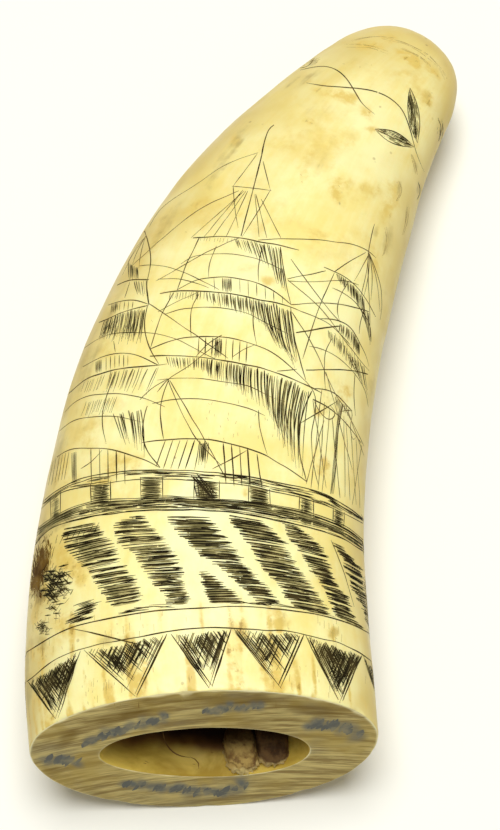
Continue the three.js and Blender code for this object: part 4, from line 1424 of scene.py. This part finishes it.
on_body = out_mask * np.ones_like(px_of[..., 0])
hidden = 1 - facing
patchy = fbm(grid / 17.0, 101, 4)
streaky = fbm(skin_uv * [11, 11, 1.4], 105, 3)
honey = most(
    blob(366, 45, 30, 6, 6, 1.0, 0.7), blob(350, 42, 16, 4, 8, 0.6, 0.7), blob(412, 58, 18, 8, 30, 1.0, 0.7), blob(432, 72, 18, 5, 52, 0.55, 0.7), blob(392, 38, 30, 5, 14, 0.45, 0.8),
    blob(330, 90, 26, 7, 8, 0.75, 0.7), blob(343, 96, 14, 6, 12, 0.7, 0.7), blob(306, 84, 16, 6, -20, 0.6, 0.7), blob(398, 74, 16, 8, 10, 0.3, 0.7), blob(308, 121, 7, 3, 8, 0.7),
    blob(290, 140, 26, 18, 0, 0.40, 0.8), blob(340, 194, 13, 16, 10, 0.75, 0.8), blob(362, 193, 18, 12, 0, 0.65, 0.8), blob(304, 178, 8, 14, 10, 0.45, 0.8), blob(366, 110, 16, 6, 42, 0.6, 0.7),
    blob(372, 128, 16, 5, 8, 0.55, 0.7), blob(403, 104, 6, 18, -8, 0.45, 0.7), blob(318, 160, 40, 30, 0, 0.28, 0.8), blob(428, 98, 9, 9, 0, 0.5, 0.8), blob(250, 215, 30, 24, 0, 0.25, 0.8),
    blob(210, 205, 20, 34, 36, 0.35, 0.8), blob(414, 110, 10, 40, 0, 0.3, 0.8), blob(392, 200, 12, 40, 12, 0.4, 0.8), blob(376, 262, 12, 40, 8, 0.35, 0.8), blob(150, 250, 12, 40, 25, 0.4, 0.8),
    blob(110, 330, 12, 40, 20, 0.4, 0.8), blob(80, 420, 14, 50, 12, 0.45, 0.8), blob(60, 540, 24, 60, 5, 0.35, 0.8), blob(60, 620, 26, 40, 0, 0.45, 0.8), blob(45, 700, 16, 40, 0, 0.45, 0.8),
    blob(235, 140, 10, 9, -50, 0.6), blob(316, 236, 16, 8, 0, 0.35), blob(248, 268, 14, 9, 0, 0.45), blob(268, 283, 11, 7, 0, 0.7),
    blob(345, 395, 12, 10, 0, 0.85), blob(322, 410, 11, 8, -20, 0.7), blob(326, 468, 14, 16, 0, 0.85), blob(344, 452, 10, 16, 0, 0.5),
    blob(128, 462, 26, 14, -10, 0.55), blob(92, 430, 16, 30, 15, 0.5), blob(62, 470, 14, 26, 20, 0.75), blob(100, 481, 26, 6, -8, 0.6),
    blob(246, 493, 5, 9, 0, 0.7), blob(118, 405, 16, 11, 0, 0.45), blob(140, 345, 12, 14, 0, 0.35), blob(105, 352, 14, 12, 0, 0.45),
    blob(222, 380, 20, 8, 0, 0.3), blob(188, 300, 22, 5, 0, 0.3), blob(62, 560, 18, 30, 10, 0.75), blob(80, 575, 14, 20, -30, 0.75),
    blob(40, 655, 14, 14, 0, 0.75), blob(78, 634, 15, 9, 0, 0.35), blob(113, 632, 10, 11, 0, 0.55), blob(146, 628, 8, 16, 0, 0.5),
    blob(282, 622, 12, 13, 0, 0.65), blob(277, 612, 8, 8, 0, 0.7), blob(334, 634, 9, 9, 0, 0.95), blob(300, 640, 15, 6, 8, 0.35),
    blob(50, 720, 12, 20, 0, 0.75), blob(95, 680, 10, 18, 0, 0.5), blob(38, 700, 8, 26, 0, 0.6), blob(140, 662, 11, 9, 0, 0.6),
    blob(272, 650, 9, 9, 0, 0.5), blob(352, 480, 10, 60, 0, 0.4), blob(366, 560, 8, 60, 0, 0.4), blob(362, 700, 14, 14, 0, 0.35),
    blob(120, 525, 16, 16, -30, 0.4), blob(208, 545, 14, 8, 0, 0.3), blob(330, 580, 14, 20, 0, 0.4),
)
honey = honey * (0.85 + 0.4 * streaky) + 0.30 * smooth(-0.10, 0.55, patchy) * facing
honey = np.maximum(honey, spot(42, 580, 13.0, 9.0, 0.8))
honey = honey + hidden * 0.55 * smooth(-0.15, 0.6, patchy + 0.20 * streaky)
# Upright drips by the borders and the root.
drip = smooth(0.10, 0.50, fbm(skin_uv * [22, 22, 1.1], 111, 3)) * smooth(0.15, 0.04, t_of)
honey = honey + 1.25 * drip
umber = most(
    spot(39, 578, 8.0, 5.0, 0.75), spot(44, 562, 4.5, 3.6, 0.6), spot(33, 662, 4.0, 2.4, 0.2),
    blob(290, 84, 18, 3, -38, 0.30), blob(337, 637, 4, 4, 0, 0.35), blob(343, 193, 2.5, 2.5, 0, 0.5),
    blob(340, 204, 1.6, 3, 0, 0.5), blob(305, 121, 1.6, 1.2, 0, 0.6), blob(311, 123, 1.6, 1.2, 0, 0.6), blob(186, 232, 2.4, 1.6, 0, 0.7),
    blob(226, 193, 1.6, 1.2, 0, 0.6), blob(204, 541, 1.4, 1.4, 0, 0.8), blob(190, 693, 3.2, 2.0, 0, 0.9), blob(162, 696, 4.5, 1.4, 0, 0.7),
    blob(175, 671, 1.2, 1.2, 0, 0.8), blob(183, 693, 2.4, 1.6, 0, 0.7), blob(118, 555, 3, 5, 0, 0.35),
)
umber = umber + hidden * 0.35 * smooth(0.30, 0.70, fbm(grid / 11.0, 121, 4))
# Olive-brown: real stains in places, and painted shade in the long narrow patches that follow the left and right edges
# of the tooth as the camera sees it; on the hidden side, stains only.
olive_stain_and_edge_shade = most(
    blob(240, 143, 5, 10, 38, 0.50, 0.9), blob(225, 160, 8, 50, 33, 0.35, 0.8), blob(303, 82, 24, 6, -38, 0.45, 0.8), blob(165, 225, 8, 46, 30, 0.30, 0.8), blob(120, 300, 8, 46, 28, 0.35, 0.8),
    blob(84, 370, 9, 50, 18, 0.38, 0.8), blob(58, 450, 10, 40, 12, 0.45, 0.8), blob(42, 545, 8, 40, 8, 0.45, 0.8), blob(28, 680, 6, 40, 0, 0.45, 0.8), blob(414, 164, 4, 12, -18, 0.55, 0.9),
    blob(399, 190, 4, 14, 10, 0.45, 0.9), blob(388, 240, 7, 24, 8, 0.5, 0.8), blob(407, 214, 3, 12, 8, 0.45, 0.9), blob(419, 188, 3, 7, 10, 0.55, 0.8), blob(441, 130, 4, 12, 10, 0.7, 0.6),
    blob(376, 232, 6, 8, 10, 0.4, 0.8), blob(372, 420, 10, 60, 0, 0.25, 0.8), blob(370, 620, 8, 60, 0, 0.30, 0.8), blob(429, 96, 5, 5, 0, 0.30, 0.9), blob(311, 61, 8, 5, -30, 0.8, 0.5),
    blob(60, 525, 26, 8, -30, 0.5, 0.8), blob(44, 640, 12, 14, 0, 0.5, 0.8), blob(88, 560, 8, 20, -20, 0.4, 0.8), blob(285, 618, 6, 14, 0, 0.32, 0.9), blob(334, 634, 7, 8, 0, 0.45, 0.9),
    blob(110, 640, 30, 7, -10, 0.4, 0.8), blob(330, 400, 14, 30, 0, 0.3, 0.8),
)
olive_stain_and_edge_shade = olive_stain_and_edge_shade + hidden * 0.30 * smooth(0.0, 0.5, fbm(grid / 22.0, 131, 3))

# The broad face is worn pale, and the sides have yellowed.
# Painted shade, partly a real yellowing: the skin grows darker and yellower where it faces away from the camera, and
# the broad face stays pale.
side_shade_and_yellowing = smooth(0.90, 0.32, (normals * to_eye).sum(-1) + 0.16 * fbm(grid / 16.0, 161, 3)) * (0.85 + 0.4 * fbm(grid / 9.0, 165, 3))

# How thickly the skin is engraved around each vertex, which greys it.
marks = np.concatenate([np.concatenate(ink.marks) for ink in (hatch, sea, hull, back)])
tree = KDTree(len(marks))
for k, q in enumerate(marks[:, :3].tolist()):
    tree.insert(q, k)
tree.balance()
soot = np.zeros(grid.shape[:2])
for i in range(CROWN_ROWS + BODY_ROWS + 2):
    for j in range(COLUMNS):
        near = tree.find_range(grid[i, j].tolist(), 1.1)
        if near:
            soot[i, j] = sum(marks[k, 3] * (1.1 - d) for _, k, d in near)
soot = np.maximum(smooth(0.25, 2.4, soot), most(blob(57, 582, 13, 15, 0, 0.75), blob(45, 627, 6, 8, -30, 0.8), blob(48, 603, 9, 10, 0, 0.5)))

# The saw cut: a painted highlight along its outer rim and the hollow's mouth, and clouds of faded ink.
row_no = np.arange(N_ROWS)[:, None]
outer_row, mouth_row = CROWN_ROWS + BODY_ROWS + RIM_ROWS, CROWN_ROWS + BODY_ROWS + RIM_ROWS + FACE_ROWS
rim_light = smooth(-0.3, 0.25, fbm(ring * 4, 141, 3))[None]
edge = np.exp(-(((row_no - outer_row + 3.5) / 1.3) ** 2)) * (0.6 + 0.4 * rim_light)
edge = np.maximum(edge, np.exp(-(((row_no - mouth_row - 1) / 1.3) ** 2)) * (0.45 + 0.55 * smooth(-0.2, 0.3, fbm(ring * 5, 145, 3)))[None])
ink_cloud = np.zeros_like(edge)
for path, count, tall in ROOT_ROWS:
    for x, y in along(curve(path), np.linspace(0.04, 0.96, count * 2)):
        d = (px_of - [x + rng.uniform(-3, 3), y + rng.uniform(-3, 3)]) / [tall * 0.5, tall * rng.uniform(0.24, 0.42)]
        ink_cloud = np.maximum(ink_cloud, rng.uniform(0.50, 1.0) * smooth(1.25, 0.15, np.linalg.norm(d + warp * 0.7, axis=-1)))
smudge = ink_cloud * cut_mask
tan = most(
    blob(235, 701, 80, 9, 0, 1.0), blob(310, 708, 40, 8, 8, 0.9), blob(128, 714, 46, 7, -14, 1.0), blob(66, 738, 18, 8, -32, 0.9),
    blob(252, 718, 90, 7, 0, 0.35), blob(180, 800, 70, 6, 3, 0.35),
    blob(50, 768, 12, 9, 0, 0.5), blob(95, 792, 16, 5, 20, 0.4), blob(270, 802, 40, 4, -8, 0.4), blob(362, 735, 8, 12, 0, 0.3),
)
behind = -((grid - face_mid) @ face_n)  # depth behind the saw cut
# Painted shade in the hollow: the wall darkens towards black the deeper it lies behind the saw cut, sooner on the upper
# wall than on the floor, and also round the stones.
floor_side = smooth(0.25, -0.55, ring[:, 1])[None]
murk = behind + 1.4 * fbm(grid / 5.0, 151, 3)
deep = smooth(0.6, 5.0, murk) * (1 - floor_side) + smooth(2.6, 9.0, murk) * floor_side
shade_by_stones = smooth(9.5, 6.0, np.hypot(fu - 10.5, (behind - 11.0) * 0.9))
deep = np.maximum(deep, shade_by_stones) * hol_mask
for name, field, tip, end in (
    ("side_shade_and_yellowing", side_shade_and_yellowing, 0.6, 0.5), ("honey", honey, 0.4, 0.3), ("umber", umber, 0, 0), ("olive_stain_and_edge_shade", olive_stain_and_edge_shade, 0.1, 0.2), ("soot", soot, 0, 0),
    ("edge", edge, 0, 0), ("smudge", smudge, 0, 0), ("deep", deep, 0, 1),
):
    if name == "honey":
        field = field * on_body + tan * cut_mask
    elif name in ("umber", "olive_stain_and_edge_shade", "soot", "side_shade_and_yellowing"):
        field = field * on_body
    write_value(tooth, name, spread(np.clip(field, 0, 1), tip, end))


def ink_material(name, dark, faded, fade=0.5):
    m = Nodes(name)
    at = m.at()
    worn = m.ramp(m.noise(at, 260.0, 3.0, 0.6), 0.40, 0.72, 0.0, fade)
    colour = m.mix(worn, dark, faded)
    return m.finish(Base_Color=colour, Roughness=m.ramp(m.noise(at, 900.0, 2.0), 0.3, 0.7, 0.55, 0.75), IOR=1.5, Specular_IOR_Level=0.04)


black = ink_material("ink_dark", (0.016, 0.012, 0.004), (0.09, 0.065, 0.02), 0.6)
brown = ink_material("ink_line", (0.030, 0.022, 0.007), (0.16, 0.11, 0.03), 0.7)
faint = ink_material("ink_faint", (0.11, 0.085, 0.03), (0.32, 0.24, 0.085), 0.8)
blue = ink_material("ink_blue", (0.150, 0.152, 0.130), (0.34, 0.30, 0.175), 0.9)
soft = ink_material("ink_wash", (0.22, 0.19, 0.07), (0.60, 0.52, 0.21), 0.95)
rust = ink_material("pulp_crack", (0.16, 0.075, 0.018), (0.30, 0.17, 0.05), 0.6)
lines.piece("ink_lines", brown)
hatch.piece("ink_hatching", black)
sea.piece("ink_sea", black)
hull.piece("ink_hull", black)
pale.piece("ink_fine", faint)
wash.piece("ink_wash", soft)
back.piece("ink_hidden_side", brown)
root_marks.piece("root_marks", blue)
burn.piece("scorched_skin", ink_material("scorch", (0.075, 0.034, 0.004), (0.22, 0.125, 0.022), 0.9))
specks.piece("skin_specks", ink_material("speck", (0.24, 0.14, 0.035), (0.66, 0.50, 0.16), 0.9))
fissure = Ink()
cut(fissure, [(163, 732), (165, 741), (169, 748), (177, 754.5), (190, 757.5)], 0.30, 0.5, (0.1, 0.4))
cut(fissure, [(190, 757), (198, 763), (199, 769)], 0.26, 0.8, (0.2, 0.4))
for x, y in ((146, 761), (148, 762.5), (145, 763), (236, 737), (194, 764), (212, 752)):
    cut(fissure, [(x - 1.3, y), (x + 1.3, y + 0.6)], 0.62, 0.0, (0.4, 0.4), straight=True)
fissure.piece("pulp_crack", rust)


def stone_material(name, light, shade, crust_colour):
    m = Nodes(name)
    at = m.at()
    clouds = m.noise(at, 420.0, 4.0, 0.6)
    colour = m.mix(m.ramp(clouds, 0.35, 0.65), shade, light)
    colour = m.mix(m.ramp(m.value("crust"), 0.15, 0.55), colour, crust_colour)
    colour = m.mix(m.ramp(m.noise(at, 800.0, 2.0), 0.56, 0.68, 0.0, 0.55), colour, (0.13, 0.06, 0.025))
    # Painted shade: the stone darkens where it reaches back and up into the hollow.
    colour = m.mix(m.value("painted_stone_shade"), colour, (0.030, 0.010, 0.003))
    normal = m.bump(m.noise(at, 1300.0, 3.0), 0.4, 0.12)
    return m.finish(
        Base_Color=colour, Roughness=m.ramp(clouds, 0.3, 0.7, 0.5, 0.75), Normal=normal, IOR=1.5, Specular_IOR_Level=0.06,
        Subsurface_Weight=0.05, Subsurface_Radius=(1.0, 0.6, 0.3), Subsurface_Scale=0.001,
    )


for name, spec, material in (
    ("pulp_stone_1", (7.2, 5.0, 3.3, 4.7, 5.3, -12.8, 201, 1.0), stone_material("stone_cream", (0.54, 0.37, 0.115), (0.23, 0.13, 0.04), (0.68, 0.52, 0.20))),
    ("pulp_stone_2", (13.5, 5.4, 3.4, 4.7, 4.6, -10.7, 217, 0.75), stone_material("stone_mauve", (0.15, 0.082, 0.030), (0.055, 0.027, 0.011), (0.55, 0.40, 0.15))),
):
    points, faces, crust = stone(*spec)
    lump = new_mesh(name, points, faces)
    lump.data.materials.append(material)
    write_value(lump, "crust", crust.astype(np.float32))
    # Painted shade on the stones: darker the further they lie behind the saw cut and the higher they rise.
    back_off = -((points - face_mid) @ face_n)
    high = points[:, 2] - points[:, 2].min()
    painted_stone_shade = 0.9 * smooth(3.5, 8.0, back_off + 0.35 * high - 1.2)
    write_value(lump, "painted_stone_shade", painted_stone_shade.astype(np.float32))
    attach(lump, "root")

# ---------------------------------------------------------------- table and light

floor_mesh = bpy.data.meshes.new("table")
floor_mesh.from_pydata([(-6, -6, 0), (6, -6, 0), (6, 6, 0), (-6, 6, 0)], [], [(0, 1, 2, 3)])
floor = bpy.data.objects.new("table", floor_mesh)
bpy.context.scene.collection.objects.link(floor)
table = Nodes("table_top")
floor_mesh.materials.append(table.finish(Base_Color=(0.90, 0.895, 0.83, 1.0), Roughness=0.7))
floor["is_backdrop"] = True


def area_light(name, place_m, aim_m, size, power, colour=(1, 1, 1)):
    data = bpy.data.lights.new(name, "AREA")
    data.shape = "DISK"
    data.size = size
    data.energy = power
    data.color = colour
    obj = bpy.data.objects.new(name, data)
    bpy.context.scene.collection.objects.link(obj)
    way = Vector(place_m) - Vector(aim_m)
    obj.matrix_world = Matrix.Translation(Vector(place_m)) @ way.to_track_quat("Z", "Y").to_matrix().to_4x4()
    return obj


area_light("key", (0.0, 0.43, 3.00), (0, 0, 0.02), 1.82, 93.0, (1.0, 0.995, 0.97))
area_light("fill", (0.35, -0.6, 0.45), (0, 0, 0.02), 0.8, 0.35, (0.98, 0.99, 1.0))
world = bpy.data.worlds.new("room")
world.use_nodes = True
world.node_tree.nodes["Background"].inputs["Color"].default_value = (0.975, 0.985, 1.0, 1.0)
world.node_tree.nodes["Background"].inputs["Strength"].default_value = 0.20
bpy.context.scene.world = world
bpy.context.scene.view_settings.view_transform = "Standard"
bpy.context.scene.view_settings.look = "None"

low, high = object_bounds()
